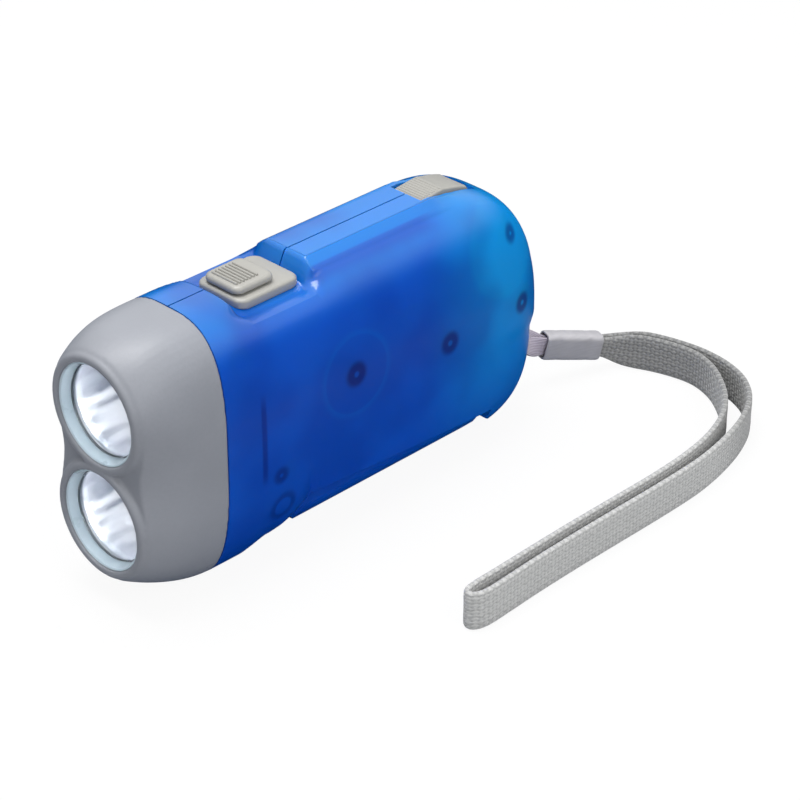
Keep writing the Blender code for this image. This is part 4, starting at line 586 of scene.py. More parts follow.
def turned(profile, place, segments=96, hollow=False):
    """Revolves (along, radius) points about local Z; a hollow profile is a closed loop."""
    shape = bmesh.new()
    loops = []
    for along, radius in profile:
        spots = arc((0, 0), radius, 0, 360, segments)[:-1] if radius else [(0, 0)]
        loops.append([shape.verts.new(place @ Vector((*spot, along))) for spot in spots])
    for here, after in zip(loops, loops[1:] + (loops[:1] if hollow else [])):
        for index in range(segments):
            follow = (index + 1) % segments
            corners = list(dict.fromkeys([here[index % len(here)], here[follow % len(here)],
                                          after[follow % len(after)], after[index % len(after)]]))
            if len(corners) > 2:
                shape.faces.new(corners)
    if not hollow:
        for loop in (loops[0], loops[-1]):
            if len(loop) > 1:
                shape.faces.new(loop)
    return shape


def along_x(height):
    """Frame whose local Z is world +X, on the lamp axis of a height."""
    return Matrix.Translation((at(0), 0, height)) @ Matrix.Rotation(math.pi / 2, 4, "Y")


def along_y(place):
    """Frame whose local Z is world +Y at a (back, height) place."""
    return Matrix.Translation((at(place[0]), 0, place[1])) @ Matrix.Rotation(-math.pi / 2, 4, "X")


def gathered(*shapes):
    """One mesh of several shapes, each with its faces turned outwards."""
    whole = bmesh.new()
    for shape in shapes:
        bmesh.ops.recalc_face_normals(shape, faces=shape.faces)
        part = meshed(shape, "part")
        whole.from_mesh(part)
        bpy.data.meshes.remove(part)
    return meshed(whole, "whole")


def applied(thing):
    """Replaces an object's mesh by what its modifiers make of it."""
    bpy.context.view_layer.update()
    graph = bpy.context.evaluated_depsgraph_get()
    mesh = bpy.data.meshes.new_from_object(thing.evaluated_get(graph))
    thing.modifiers.clear()
    thing.data = mesh


def combined(thing, operation, *shapes):
    """Joins shapes to an object or cuts them out of it."""
    tool = bpy.data.objects.new("tool", gathered(*shapes))
    bpy.context.scene.collection.objects.link(tool)
    change = thing.modifiers.new("cut", "BOOLEAN")
    change.operation = operation
    change.solver = "EXACT"
    change.object = tool
    applied(thing)
    bpy.data.objects.remove(tool)


def swelled(value, power):
    """A sine or cosine as the squarer outline of some power has it."""
    return math.copysign(abs(value) ** (2 / power), value)


def section_ring(back, inset, count=72):
    """Ring of the body's section at the seam, drawn in by inset."""
    ring = []
    for index in range(count):
        angle = 2 * math.pi * index / count
        power = TOP_POWER if angle < math.pi else LOW_POWER
        side, rise = swelled(math.cos(angle), power), swelled(math.sin(angle), power)
        tall = BARREL_HEIGHT - inset - SPINE_HEIGHT if rise >= 0 else SPINE_HEIGHT + BELLY_SINK - inset
        ring.append(Vector((at(back), side * (SEAM_HALF_WIDTH - inset), SPINE_HEIGHT + rise * tall)))
    return ring


def quarter(height, round_by, steps=6):
    """(height, inset) levels of a rounded upper edge that ends at a height."""
    angles = [math.radians(90 * index / steps) for index in range(steps + 1)]
    return [(height - round_by * (1 - math.sin(angle)), round_by * (1 - math.cos(angle)))
            for angle in angles]


middle = sum(LAMP_HEIGHTS) / 2
turns = [2 * math.pi * index / HEAD_SIDES for index in range(HEAD_SIDES)]
face = [halve(lambda reach: in_face(reach, angle, middle)) for angle in turns]
seam = [halve(lambda reach: in_seam(reach, angle, middle)) for angle in turns]
rings = []
for index in range(HEAD_ROWS + 1):
    share = index / HEAD_ROWS
    back = FACE_BACK + (HEAD_LENGTH - FACE_BACK) * share
    ring = []
    for first, second, angle in zip(face, seam, turns):
        left = (1 - share) ** (2.5 + 0.8 * math.sin(angle))
        reach = first * left + second * (1 - left)
        ring.append(Vector((at(back), reach * math.cos(angle), middle + reach * math.sin(angle))))
    rings.append(ring)
grey = moulded("grey_moulding", (0.226, 0.236, 0.262), 0.46, 1400.0, 0.00003, 0.05)
head = link("lamp_head", gathered(loft(rings)), grey)
lip = [(0.0, LIP_RADIUS - 2.0 * LIP_ROUND)]
lip += [(-rise, LIP_RADIUS - inset) for rise, inset in reversed(quarter(0, LIP_ROUND))]
lip.append((LIP_LENGTH, LIP_RADIUS))
for height in LAMP_HEIGHTS:
    combined(head, "UNION", turned(lip, along_x(height)))
combined(head, "UNION", loft([section_ring(back, WALL + GAP) for back in SPIGOT]))
combined(head, "DIFFERENCE", loft([section_ring(back, HOLLOW_INSET) for back in HOLLOW]))
combined(head, "DIFFERENCE", block(-0.002, 0.03, 0.02, -0.01, 0.0))
mouth = ((-CUT, MOUTH_RADIUS + LINER), (RECESS_DEPTH, MOUTH_RADIUS + LINER - GAP),
         (RECESS_DEPTH, SEAT_RADIUS), (SEAT_END, SEAT_RADIUS))
for height in LAMP_HEIGHTS:
    combined(head, "DIFFERENCE", turned(mouth, along_x(height)))
remesh = head.modifiers.new("even", "REMESH")
remesh.mode = "VOXEL"
remesh.voxel_size = SKIN_GRID
soften = head.modifiers.new("soften", "SMOOTH")
soften.factor = 0.5
soften.iterations = 4
applied(head)
dressed(head, grey, 180)
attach(head, "housing")
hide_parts("head_shroud")

# Each mouth is lined with a pale bluish ring of clear plastic that holds the flat window.
# The window is a thin polished disc, and its rim ring shows as a fine dark line.
WINDOW_START = RECESS_DEPTH - 0.0010
WINDOW_THICKNESS = 0.0012
CUP_START = WINDOW_START + WINDOW_THICKNESS + GAP
CUP_DEPTH = 0.0090
CUP_WALL = 0.0003
CUP_NECK = 0.0028
CUP_ROWS = 9
FLUTES = 16
FLUTE_DEPTH = 0.0004
FLUTE_SIDES = FLUTES * 6
FLUTE_TWIST = 0.35
liner_clear, start = finish("window_ring", (0.66, 0.78, 0.84), 0.28, more={"Coat Weight": 0.3})
cloud = start.noise(start.places(), 260.0, 3.0)
start.feed({"Base Color": cloud.tint((0.40, 0.50, 0.57), (0.54, 0.63, 0.69)),
            "Roughness": 0.20 + cloud * 0.2})
clear, start = finish("polished_window", (0.97, 0.985, 1.0), 0.02,
                      more={"Transmission Weight": 1.0, "IOR": 1.46})
start.feed({"Roughness": 0.01 + start.noise(start.places(), 160.0, 2.0) * 0.03})
chrome, start = finish("metallised_cup", (0.90, 0.91, 0.94), 0.10, 1.0)
pits = start.noise(start.places(), 700.0, 3.0)
start.feed({"Base Color": pits.tint((0.78, 0.80, 0.87), (0.95, 0.95, 0.98)),
            "Roughness": 0.27 + pits * 0.20, "Normal": start.bump(pits, 0.00006, 0.4)})
for place, height in zip(("lower", "upper"), LAMP_HEIGHTS):
    spot = along_x(height)
    rim = MOUTH_RADIUS + LINER
    ring = link("window_ring_" + place, gathered(turned((
        (0.0007, rim - 0.00008), (0.0005, rim - 0.0003), (0.0007, MOUTH_RADIUS - 0.0001),
        (WINDOW_START - 0.0003, SEAT_RADIUS + 0.0001), (RECESS_DEPTH - 0.0002, SEAT_RADIUS),
        (RECESS_DEPTH - 0.0002, rim - GAP - 0.0001)), spot, 96, True)), liner_clear)
    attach(ring, "housing")
    rim = SEAT_RADIUS - GAP
    window = link("window_" + place, gathered(turned((
        (WINDOW_START, 0), (WINDOW_START, rim - 0.0003), (WINDOW_START + 0.0001, rim - 0.0001),
        (WINDOW_START + 0.0003, rim), (WINDOW_START + WINDOW_THICKNESS, rim),
        (WINDOW_START + WINDOW_THICKNESS, 0)), spot)), clear)
    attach(window, "housing")
    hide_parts("lens_" + place)
    shape = bmesh.new()
    rows = []
    for row in range(CUP_ROWS + 1):
        share = row / CUP_ROWS
        reach = rim - CUP_WALL - (rim - CUP_WALL - CUP_NECK) * share ** 1.9
        ring = []
        for index in range(FLUTE_SIDES):
            angle = 2 * math.pi * index / FLUTE_SIDES
            petal = abs(math.sin(FLUTES * angle / 2 + FLUTE_TWIST * (row % 3)))
            out = reach - FLUTE_DEPTH * (1 - petal) * math.sin(math.pi * share)
            ring.append(shape.verts.new(spot @ Vector((out * math.cos(angle), out * math.sin(angle),
                                                       CUP_START + CUP_DEPTH * share))))
        rows.append(ring)
    stitched(shape, rows)
    cup = link("reflector_cup_" + place, meshed(shape, "cup"), chrome, 24)
    wall = cup.modifiers.new("wall", "SOLIDIFY")
    wall.thickness = CUP_WALL / 2
    wall.offset = 0
    applied(cup)
    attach(cup, "housing")
    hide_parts("reflector_" + place)

# A round white LED with a faintly hazy dome stands in the neck of each cup, and its dome has a painted glow.
# Both are soldered to one green board across the back of the head.
def painted(nodes, material):
    """Gives plain parts a material."""
    for node in nodes:
        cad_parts[node].data.materials.clear()
        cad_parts[node].data.materials.append(material)


# The dome's emission is a painted glow that stands in for its bright reflection.
glowing_dome, start = finish("led_dome_painted_glow", (0.96, 0.97, 1.0), 0.05, more={
    "Transmission Weight": 0.4, "IOR": 1.5,
    "Emission Color": (0.93, 0.97, 1.0, 1), "Emission Strength": 6.0})
haze = start.noise(start.places(), 500.0, 2.0)
start.feed({"Base Color": haze.tint((0.90, 0.91, 0.86), (1.0, 1.0, 1.0)), "Roughness": 0.05 + haze * 0.2})
green = moulded("lacquered_board", (0.03, 0.20, 0.09), 0.35, 600.0, 0.00002, 0.25)
painted(("led_lower", "led_upper"), glowing_dome)
painted(("led_board",), green)

# The body is two halves of clear blue plastic, drawn together by three screws.
# Walls, pin bosses and inner parts show dimly through it, darker where it is thick, under painted light and
# shade.
ROUND_REACH = 0.0271
ROUND_BACK = BODY_LENGTH - ROUND_REACH
ROUND_HEIGHT = BARREL_HEIGHT * 0.443
PALM_HALF_WIDTH = 0.0156
REAR_TOP_POWER = 2.45
REAR_BOTTOM_POWER = 3.3
COLLAR_END = 0.0277
SHELF_START = 0.0302
SHELF_END = 0.0462
SHELF_HEIGHT = BARREL_HEIGHT - 0.0032
RAISED_START = 0.0483
RAISED_END = 0.0829
RAISED_FADE = 0.0874
RAISED_HEIGHT = BARREL_HEIGHT + 0.0008
RAISED_HALF_WIDTH = 0.0078
RAISED_ROUND = 0.0028
RAISED_BEVEL = 0.0023
RAISED_BEAD = 0.00016
PIVOT = (0.0335, 0.0125)
CHEEK_RADIUS = 0.0114
CHEEK_START = 0.0260
DRIVE = (0.052089, 0.034497)
IDLER = (0.063928, 0.032538)
ROTOR = (0.068617, 0.040219)
COIL = (0.0551, 0.0449)
POST = (0.03518, 0.02042)
PIN = (0.1056, 0.0140)
SCREWS = ((0.0250, 0.0467), (0.077950, 0.030886), (0.1019, 0.0308))
BOSS_RADIUS = 0.0026
SCREW_HOLE = 0.00125
LEVER_END = 0.0928
LEVER_HALF_WIDTH = 0.0100
FOOT_RISE = 0.0055
FOOT_RUN = 0.0075
SLOT_RADIUS = 0.0076
SLOT_FRONT_SLOPE = 0.0014
BARREL_ROWS = 60
REAR_ROWS = 64
FLANK_STEPS = 17
CROWN_FROM = 0.012
SLOT_ANGLES = (-75, -2.3)
TAIL_REACH = LEVER_END - PIVOT[0] + 0.0004
TAIL_HEIGHT = 0.0082
LOCK_START, LOCK_END = 0.0813, 0.0946
LOCK_HALF_WIDTH = 0.0039
SWITCH_WINDOW = (0.0348, 0.0422, 0.0018)
LOCK_WINDOW = (0.0884, 0.0936, 0.0020)
TIE_MOUTH = 0.0036
PIVOT_BORE = 0.0018
AXLE_BORE = 0.0014
AXLE_BOSS = 0.0024
SCREW_HEAD_BORE = 0.0024
SCREW_SEAT = 0.0032
SEAT_DEPTH = 0.0033
# Each boss is a place, a radius and how near it comes to the middle.
SHARED_BOSSES = ((PIVOT, 0.0040, LEVER_HALF_WIDTH + GAP), (PIN, 0.0022, 0.0056))
NEAR_BOSSES = ((POST, 0.0019, 0.0030), (DRIVE, BOSS_RADIUS, 0.0023), (ROTOR, AXLE_BOSS, 0.0100),
               (COIL, 0.0026, 0.0108))
FAR_BOSSES = ((DRIVE, BOSS_RADIUS, 0.0040), (IDLER, AXLE_BOSS, 0.0006), (ROTOR, AXLE_BOSS, GAP / 2))
# Each ring of painted shade over a part inside is a place, two radii and its strength, below 0 where it is a
# ring of painted light.
PAINTED_SHADE_AND_LIGHT_RINGS = ((SCREWS[1], 0.0003, 0.0016, 0.85), ((0.1002, 0.0309), 0.0002, 0.0014, 0.8),
              (DRIVE, 0.0003, 0.0018, 0.9), ((0.0322, 0.0205), 0.0001, 0.0010, 0.7),
              ((0.0985, 0.0465), 0.0, 0.0010, 0.7), (PIVOT, 0.0017, 0.0025, 0.5),
              (DRIVE, 0.0078, 0.0082, -0.15))
# Centre of a soft pool of painted light at the rear, where no parts lie inside.
PAINTED_LIGHT_CENTRE = (0.0955, 0.0445)

blue, start = finish("clear_blue", (0.0, 0.16, 0.85), 0.30, more={
    "Transmission Weight": 0.55, "IOR": 1.46, "Specular IOR Level": 0.1, "Coat Weight": 0.5,
    "Coat Roughness": 0.04, "Coat IOR": 1.5})
where = start.places()
flow = start.noise(where, 42.0, 2.0, 0.5)
grain = start.noise(where, 900.0, 3.0)
along, aside, height = where.parts()
flat = start.node("VectorMath", {"operation": "MULTIPLY"}, {0: where, 1: (1, 0, 1)})


def away_from(spot):
    """Distance from a (back, height) place in the side view."""
    return start.node("VectorMath", {"operation": "DISTANCE"}, {0: flat, 1: (at(spot[0]), 0, spot[1])}, 1)


# Painted light: the blue is drawn lighter along the top, over the lower rear and in a soft pool at the empty
# rear, and darker elsewhere.
light = (height.between(0.047, 0.058) * 0.55).most(
    along.between(at(0.068), at(0.094)) * height.between(-0.01, 0.04) * 0.9)
light = light.most(away_from(PAINTED_LIGHT_CENTRE).falling(0.0085, 0.0145) * 1.1)
shade = light.tint((0.0, 0.125, 0.78), (0.0, 0.44, 1.0))
shade = (flow.between(0.60, 0.38) * 0.45).tint(shade, (0.0, 0.045, 0.48))
# Painted shade: darker rings and a dot over the screws, bosses and drive inside, and one faint ring of
# painted light round the drive.
for spot, inner, outer, strength in PAINTED_SHADE_AND_LIGHT_RINGS:
    away = away_from(spot)
    ring = away.between(inner, inner + 0.0006) * away.falling(outer, outer + 0.0016)
    shade = (ring * abs(strength)).tint(shade, (0.0, 0.02, 0.26) if strength > 0 else (0.0, 0.30, 1.0))
# Painted shade: a soft dark upright line where the cell holder stands inside.
line = along.between(at(0.0271), at(0.0277)) * along.falling(at(0.0283), at(0.0290))
line = line * height.between(0.019, 0.023) * height.falling(0.036, 0.041)
shade = (line * 0.75).tint(shade, (0.0, 0.03, 0.35))
aside = start.maths("ABSOLUTE", aside)
# Painted shade: a darker band along both sides of the raised back, where its edge steps down to the barrel.
edge = aside.between(0.0068, 0.0074) * aside.falling(0.0086, 0.0108) * height.between(0.049, 0.051)
edge = edge * along.between(at(0.0465), at(0.0490)) * along.falling(at(0.076), at(0.083))
shade = (edge * 0.6).tint(shade, (0.0, 0.07, 0.60))
start.feed({"Base Color": shade, "Roughness": 0.24 + flow * 0.12,
            "Coat Weight": height.between(0.045, 0.054) * 0.55 + 0.04,
            "Normal": start.bump(grain + flow * 6.0, 0.00003, 0.35)})
depth = start.node("VolumeAbsorption", None, {"Color": (0.0, 0.28, 0.80, 1), "Density": 220.0})
start.feed({"Volume": depth}, "Material Output")


def share_along(back):
    return min(max((back - HEAD_LENGTH) / (ROUND_BACK - HEAD_LENGTH), 0), 1)


def spine_height(back):
    return SPINE_HEIGHT + (ROUND_HEIGHT - SPINE_HEIGHT) * share_along(back)


def half_width(back):
    swell = math.sin(math.pi * 0.75 * share_along(back))
    return SEAM_HALF_WIDTH + (PALM_HALF_WIDTH - SEAM_HALF_WIDTH) * swell


def belly_height(back):
    """Lower outline of the body, which rises round the lever's pivot."""
    cheek_low = PIVOT[1] - CHEEK_RADIUS
    cheek_end = PIVOT[0] + CHEEK_RADIUS * math.sin(math.radians(45))
    if back < CHEEK_START or back > cheek_end:
        return -BELLY_SINK
    if back < PIVOT[0]:
        return -BELLY_SINK + (cheek_low + BELLY_SINK) * eased(back, CHEEK_START, PIVOT[0])
    return PIVOT[1] - math.sqrt(CHEEK_RADIUS ** 2 - (back - PIVOT[0]) ** 2)


def side_reach(back, height):
    """Half thickness of the body at a place in the side view."""
    level = min(back, ROUND_BACK)
    if back <= ROUND_BACK:
        spine = spine_height(back)
        ratio = abs(height - spine) / (BARREL_HEIGHT - spine if height >= spine else spine + BELLY_SINK)
    else:
        above = height >= ROUND_HEIGHT
        power = REAR_TOP_POWER if above else REAR_BOTTOM_POWER
        drop = BARREL_HEIGHT - ROUND_HEIGHT if above else ROUND_HEIGHT + BELLY_SINK
        along = (back - ROUND_BACK) / ROUND_REACH
        ratio = (along ** power + (abs(height - ROUND_HEIGHT) / drop) ** power) ** (1 / power)
    power = TOP_POWER if height >= spine_height(level) else LOW_POWER
    return half_width(level) * max(1 - ratio ** power, 0) ** (1 / power)


def crown_height(back):
    """Top outline of the barrel at a distance back."""
    along = min(max((back - ROUND_BACK) / ROUND_REACH, 0), 1)
    ease = (1 - along ** REAR_TOP_POWER) ** (1 / REAR_TOP_POWER)
    return ROUND_HEIGHT + (BARREL_HEIGHT - ROUND_HEIGHT) * ease


def ramp(place, stops):
    """Height between (place, height) stops, held level past the ends."""
    if place <= stops[0][0]:
        return stops[0][1]
    for (low, first), (high, second) in zip(stops, stops[1:]):
        if place <= high:
            return first + (second - first) * (place - low) / (high - low)
    return stops[-1][1]


def soft_least(first, second, blend):
    """Smooth minimum of two heights."""
    share = max(blend - abs(first - second), 0) / blend
    return min(first, second) - share * share * blend / 4


def shelf_height(back, out, inset):
    """Height of the barrel at a place, lowered for the switch shelf, with softer ends down its flank."""
    reach = max(out - 0.0065, 0) * 1.4
    lowered = eased(back, COLLAR_END - inset - reach, SHELF_START - inset + reach / 2)
    lowered -= eased(back, SHELF_END + inset - reach / 2, RAISED_START + inset + reach)
    depth = (BARREL_HEIGHT - SHELF_HEIGHT) * (1 - eased(out, 0.0070, 0.0125))
    return BARREL_HEIGHT - inset - depth * lowered


def raised_height(back, side, height, inset):
    """Height of the top with the raised back laid over it, which has a rounded plan and bevelled sides."""
    if back > RAISED_FADE + 0.001 or back < SHELF_END - 0.001:
        return height
    top = RAISED_HEIGHT - inset
    crown = ramp(back, ((SHELF_END + inset, SHELF_HEIGHT - inset), (RAISED_START + inset, top),
                        (RAISED_END, top), (RAISED_FADE, BARREL_HEIGHT - inset - 0.0004)))
    out_side = abs(side) - (RAISED_HALF_WIDTH - inset - RAISED_ROUND)
    out_back = SHELF_END + inset + RAISED_ROUND - back
    away = math.hypot(max(out_side, 0), max(out_back, 0)) + min(max(out_side, out_back), 0) - RAISED_ROUND
    raised = soft_least(crown, crown - (away + RAISED_BEVEL) * 0.75, 0.0003)
    raised += RAISED_BEAD * math.exp(-((away + RAISED_BEVEL + 0.0003) / 0.00028) ** 2)
    if away > 0:
        raised -= away * 3
    return -soft_least(-height, -raised, 0.0010)


def half_body(side, inset):
    """Grid of points of one half's skin: rows along the outline, columns from the middle out."""
    marks = [HEAD_LENGTH + (ROUND_BACK - HEAD_LENGTH) * index / BARREL_ROWS for index in range(BARREL_ROWS)]
    for place in (COLLAR_END, SHELF_START, SHELF_END, RAISED_START):
        marks += [place + step for step in (-0.0006, -0.0003, 0, 0.0003, 0.0006)]
    marks += [SHELF_END + 0.0003 * step for step in range(1, 20)]
    marks = sorted(set(round(mark, 5) for mark in marks))
    upper = [mark for index, mark in enumerate(marks) if index == 0 or mark - marks[index - 1] > 0.00012]
    rays = [(back, BARREL_HEIGHT - inset, back, spine_height(back), half_width(back) - inset)
            for back in upper]
    for index in range(REAR_ROWS + 1):
        angle = math.pi / 2 - math.pi * index / REAR_ROWS
        power = REAR_TOP_POWER if angle >= 0 else REAR_BOTTOM_POWER
        drop = BARREL_HEIGHT - inset - ROUND_HEIGHT if angle >= 0 else ROUND_HEIGHT + BELLY_SINK - inset
        rays.append((ROUND_BACK + (ROUND_REACH - inset) * swelled(math.cos(angle), power),
                     ROUND_HEIGHT + drop * swelled(math.sin(angle), power), ROUND_BACK, ROUND_HEIGHT,
                     half_width(ROUND_BACK) - inset))
    for back in reversed(upper):
        rays.append((back, belly_height(back) + inset, back, spine_height(back), half_width(back) - inset))
    near = [GAP / 2] + [0.001 * step for step in (0.8, 1.8, 2.8, 3.6, 4.1, 4.6, 4.8, 5.0, 5.2, 5.4, 5.6, 5.8,
                                                  6.2, 6.6, 7.0, 7.4, 7.7, 7.9, 8.2, 8.6, 9.2)]
    rows = []
    for back, height, spine_back, spine_up, width in rays:
        row = []
        power = TOP_POWER if height >= spine_up else LOW_POWER
        for number in range(len(near) + FLANK_STEPS):
            if number < len(near):
                out = near[number]
                ease = (1 - (out / width) ** power) ** (1 / power)
            else:
                first = (1 - (near[-1] / width) ** power) ** (1 / power)
                ease = first * (1 - (number - len(near) + 1) / FLANK_STEPS)
                out = width * (1 - ease ** power) ** (1 / power)
            place = spine_back + (back - spine_back) * ease
            top = shelf_height(back, out, inset) if height == BARREL_HEIGHT - inset else height
            rise = spine_up + (top - spine_up) * ease
            if rise > spine_up + CROWN_FROM:
                rise = raised_height(place, out, rise, inset)
            rise = max(rise, 0.0 if not inset else -1.0)
            row.append(Vector((at(place), side * out, rise)))
        rows.append(row)
    return rows


def shell(side):
    """Closed skin of one half, with its wall."""
    shape = bmesh.new()
    skins = [[[shape.verts.new(point) for point in row] for row in half_body(side, inset)]
             for inset in (0.0, WALL)]
    seam = [[row[0] for row in rows] for rows in skins]
    ends = [[rows[row] for rows in skins] for row in (0, -1)]
    for rows in skins + [seam] + ends:
        stitched(shape, rows, closed=False)
    bmesh.ops.remove_doubles(shape, verts=shape.verts, dist=0.000002)
    bmesh.ops.dissolve_degenerate(shape, edges=shape.edges, dist=0.000002)
    bmesh.ops.recalc_face_normals(shape, faces=shape.faces)
    return shape


def post(place, radius, side, reach):
    """Round post from a distance off the middle to inside the wall."""
    near = reach + 0.0001
    rim = arc(place, radius, 0, 360, 32)[:-1]
    ends = ([near] * len(rim), [max(side_reach(*spot) - WALL / 2, near) for spot in rim])
    return loft([[Vector((at(back), side * out, height)) for (back, height), out in zip(rim, end)]
                 for end in ends])


def rod(place, radius, low, high):
    """Round rod across the body, from side low to side high."""
    return turned(((low, radius), (high, radius)), along_y(place), 32)


def crown_strip(low, high, start, end, half, steps=16):
    """Strip that follows the crown between two offsets."""
    places = [start + (end - start) * index / steps for index in range(steps + 1)]
    outline = [(back, crown_height(back) + low) for back in places]
    outline += [(back, crown_height(back) + high) for back in reversed(places)]
    return prism(outline, -half, half)


slot = arc(PIVOT, SLOT_RADIUS, *SLOT_ANGLES, 28)
angles = [math.degrees(math.asin((height - PIVOT[1]) / TAIL_REACH)) for height in (TAIL_HEIGHT, FOOT_RISE)]
slot += arc(PIVOT, TAIL_REACH, *angles, 3)
slot.append((slot[-1][0] + FOOT_RUN * (FOOT_RISE + CUT) / FOOT_RISE, -CUT))
slot.append((slot[0][0] + SLOT_FRONT_SLOPE, -CUT))
for name, node, side, screw_boss, bosses in (
        ("body_half_near", "housing_left", -1, BOSS_RADIUS, NEAR_BOSSES),
        ("body_half_far", "housing_right", 1, SCREW_SEAT, FAR_BOSSES)):
    half = link(name, gathered(shell(side)), blue, 32)
    bosses = tuple((place, screw_boss, GAP / 2) for place in SCREWS) + SHARED_BOSSES + bosses
    combined(half, "UNION", *(post(place, radius, side, reach) for place, radius, reach in bosses))
    near = side < 0
    cutters = [prism(slot, -0.02, 0.02)]
    for place in SCREWS:
        wall = side_reach(*place)
        if near:
            cutters.append(rod(place, SCREW_HOLE, WALL - wall, CUT))
        else:
            cutters += [rod(place, SCREW_HOLE, -CUT, wall - SEAT_DEPTH),
                        rod(place, SCREW_HEAD_BORE, wall - SEAT_DEPTH - GAP, wall + CUT)]
    for place in (PIVOT, PIN, DRIVE, ROTOR) + (() if near else (IDLER,)):
        end = side_reach(*place) - WALL
        cutters.append(rod(place, PIVOT_BORE if place == PIVOT else AXLE_BORE, -end, end))
    cutters += [
        crown_strip(-0.0009, CUT, LOCK_START - GAP, LOCK_END + 0.0023, LOCK_HALF_WIDTH + GAP),
        block(*SWITCH_WINDOW, SHELF_HEIGHT - WALL - CUT, SHELF_HEIGHT + CUT),
        block(*LOCK_WINDOW, 0.048, BARREL_HEIGHT + CUT),
        block(PIN[0] - 0.0011, BODY_LENGTH + CUT, TIE_MOUTH, PIN[1] - TIE_MOUTH, PIN[1] + TIE_MOUTH)]
    for cutter in cutters:
        combined(half, "DIFFERENCE", cutter)
    dressed(half, blue, 32)
    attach(half, "housing")
    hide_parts(node)


# The squeeze lever is an open channel of the same blue plastic on a steel pin.
# A toothed sector of white plastic sits on its hub, and its edges are softly rounded.
def softened(node, name, body, bevel, angle=35):
    """The form of a plain part as a clean blue mesh with small rounded edges, riding in its place."""
    shape = bmesh.new()
    shape.from_mesh(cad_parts[node].data)
    bmesh.ops.remove_doubles(shape, verts=shape.verts, dist=0.000002)
    bmesh.ops.dissolve_limit(shape, angle_limit=math.radians(1.5), verts=shape.verts, edges=shape.edges)
    bmesh.ops.recalc_face_normals(shape, faces=shape.faces)
    made = link(name, meshed(shape, name), blue, angle)
    edge = made.modifiers.new("edge", "BEVEL")
    edge.width = bevel
    edge.segments = 2
    edge.angle_limit = math.radians(angle)
    applied(made)
    dressed(made, blue, angle + 10)
    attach(made, body)
    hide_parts(node)


softened("squeeze_lever", "lever_channel", "lever", 0.00025)
softened("latch_bar", "latch_hook", "lock", 0.00015)

nylon = moulded("natural_nylon", (0.78, 0.78, 0.74), 0.42, 700.0, 0.00003, 0.08)
painted(("lever_sector_gear", "drive_gear", "idler_gear", "rotor_hub", "coil_bobbin"), nylon)

# The parts that show dimly inside are steel, enamelled copper wire and dark mouldings.
# Pins, screws, plates and cells are bright metal, and two insulated leads run to the board.
def drawn(name, colour, roughness, scale=(900, 60, 900)):
    """Bright metal with fine lines along its width."""
    material, start = finish(name, colour, roughness, 1.0)
    lines = start.noise(start.node("Mapping", None, {"Vector": start.places(), "Scale": scale}), 1.0, 3.0)
    start.feed({"Base Color": lines.tint(tuple(part * 0.85 for part in colour), colour),
                "Roughness": (roughness - 0.08) + lines * 0.16, "Normal": start.bump(lines, 0.00002, 0.5)})
    return material


painted(("lever_pivot_pin", "drive_axle", "idler_axle", "rotor_shaft", "lanyard_pin", "coil_core",
         "stator_plate_inner", "stator_plate_outer", "screw_1", "screw_2", "screw_3", "cell_tab_1",
         "cell_tab_2", "button_cell_1", "button_cell_2", "button_cell_3", "slide_switch", "lever_spring"),
        drawn("bright_steel", (0.62, 0.62, 0.64), 0.30))
painted(("coil_winding",), drawn("enamelled_copper", (0.72, 0.31, 0.14), 0.34, (300, 3600, 300)))
painted(("rotor_magnet",), moulded("sintered_magnet", (0.07, 0.07, 0.08), 0.5, 500.0, 0.00003, 0.2))
painted(("cell_holder",), moulded("black_moulding", (0.03, 0.03, 0.032), 0.5, 700.0, 0.00003, 0.2))
painted(("coil_lead_red",), moulded("red_insulation", (0.55, 0.03, 0.02), 0.4, 800.0, 0.00002, 0.1))
painted(("coil_lead_black",), moulded("black_insulation", (0.02, 0.02, 0.02), 0.4, 800.0, 0.00002, 0.2))

# The switch is a sand coloured plate with thick rounded edges, let into the shelf.
# A knob with fine cross ribs at its front slides on it towards the rear.
sand = moulded("sand_moulding", (0.29, 0.284, 0.262), 0.42, 1300.0, 0.00003, 0.05)
PLATE_START, PLATE_END = 0.0311, 0.0465
PLATE_HALF_WIDTH = 0.0065
PLATE_LOW = SHELF_HEIGHT + GAP
PLATE_TOP = PLATE_LOW + 0.0013
KNOB_START, KNOB_END = 0.0316, 0.0416
KNOB_HALF_WIDTH = 0.0049
KNOB_LOW = PLATE_TOP + GAP
KNOB_TOP = KNOB_LOW + 0.0016
STEM = (0.0355, 0.0377, 0.0012, 0.0492)
RIB_REACH = 0.0034
RIB_PITCH = 0.00086


def slab(name, start, end, half, round_by, levels):
    """Sand plastic solid of a rounded plan; levels are (height, inset) pairs."""
    middle, reach = (start + end) / 2, (end - start) / 2
    outline = rounded_plan(start, end, half, round_by)
    rings = []
    for height, inset in levels:
        rings.append([Vector((at(middle + (back - middle) * (reach - inset) / reach),
                              side * (half - inset) / half, height)) for back, side in outline])
    return link(name, gathered(loft(rings)), sand)


plate = slab("switch_plate", PLATE_START, PLATE_END, PLATE_HALF_WIDTH, 0.0022,
             [(PLATE_LOW - 0.0009, 0.0003), (PLATE_LOW - 0.0004, 0.0)] + quarter(PLATE_TOP, 0.0007))
combined(plate, "DIFFERENCE", block(*SWITCH_WINDOW, PLATE_LOW - CUT, PLATE_TOP + CUT))
dressed(plate, sand)
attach(plate, "housing")
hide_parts("switch_bezel")

knob = slab("switch_knob", KNOB_START, KNOB_END, KNOB_HALF_WIDTH, 0.0018,
            [(KNOB_LOW, 0.00035), (KNOB_LOW + 0.0002, 0.0001), (KNOB_LOW + 0.0004, 0)]
            + quarter(KNOB_TOP, 0.0009))
combined(knob, "UNION", block(*STEM, KNOB_LOW + 0.0008))
dressed(knob, sand)
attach(knob, "switch")
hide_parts("switch_slider")


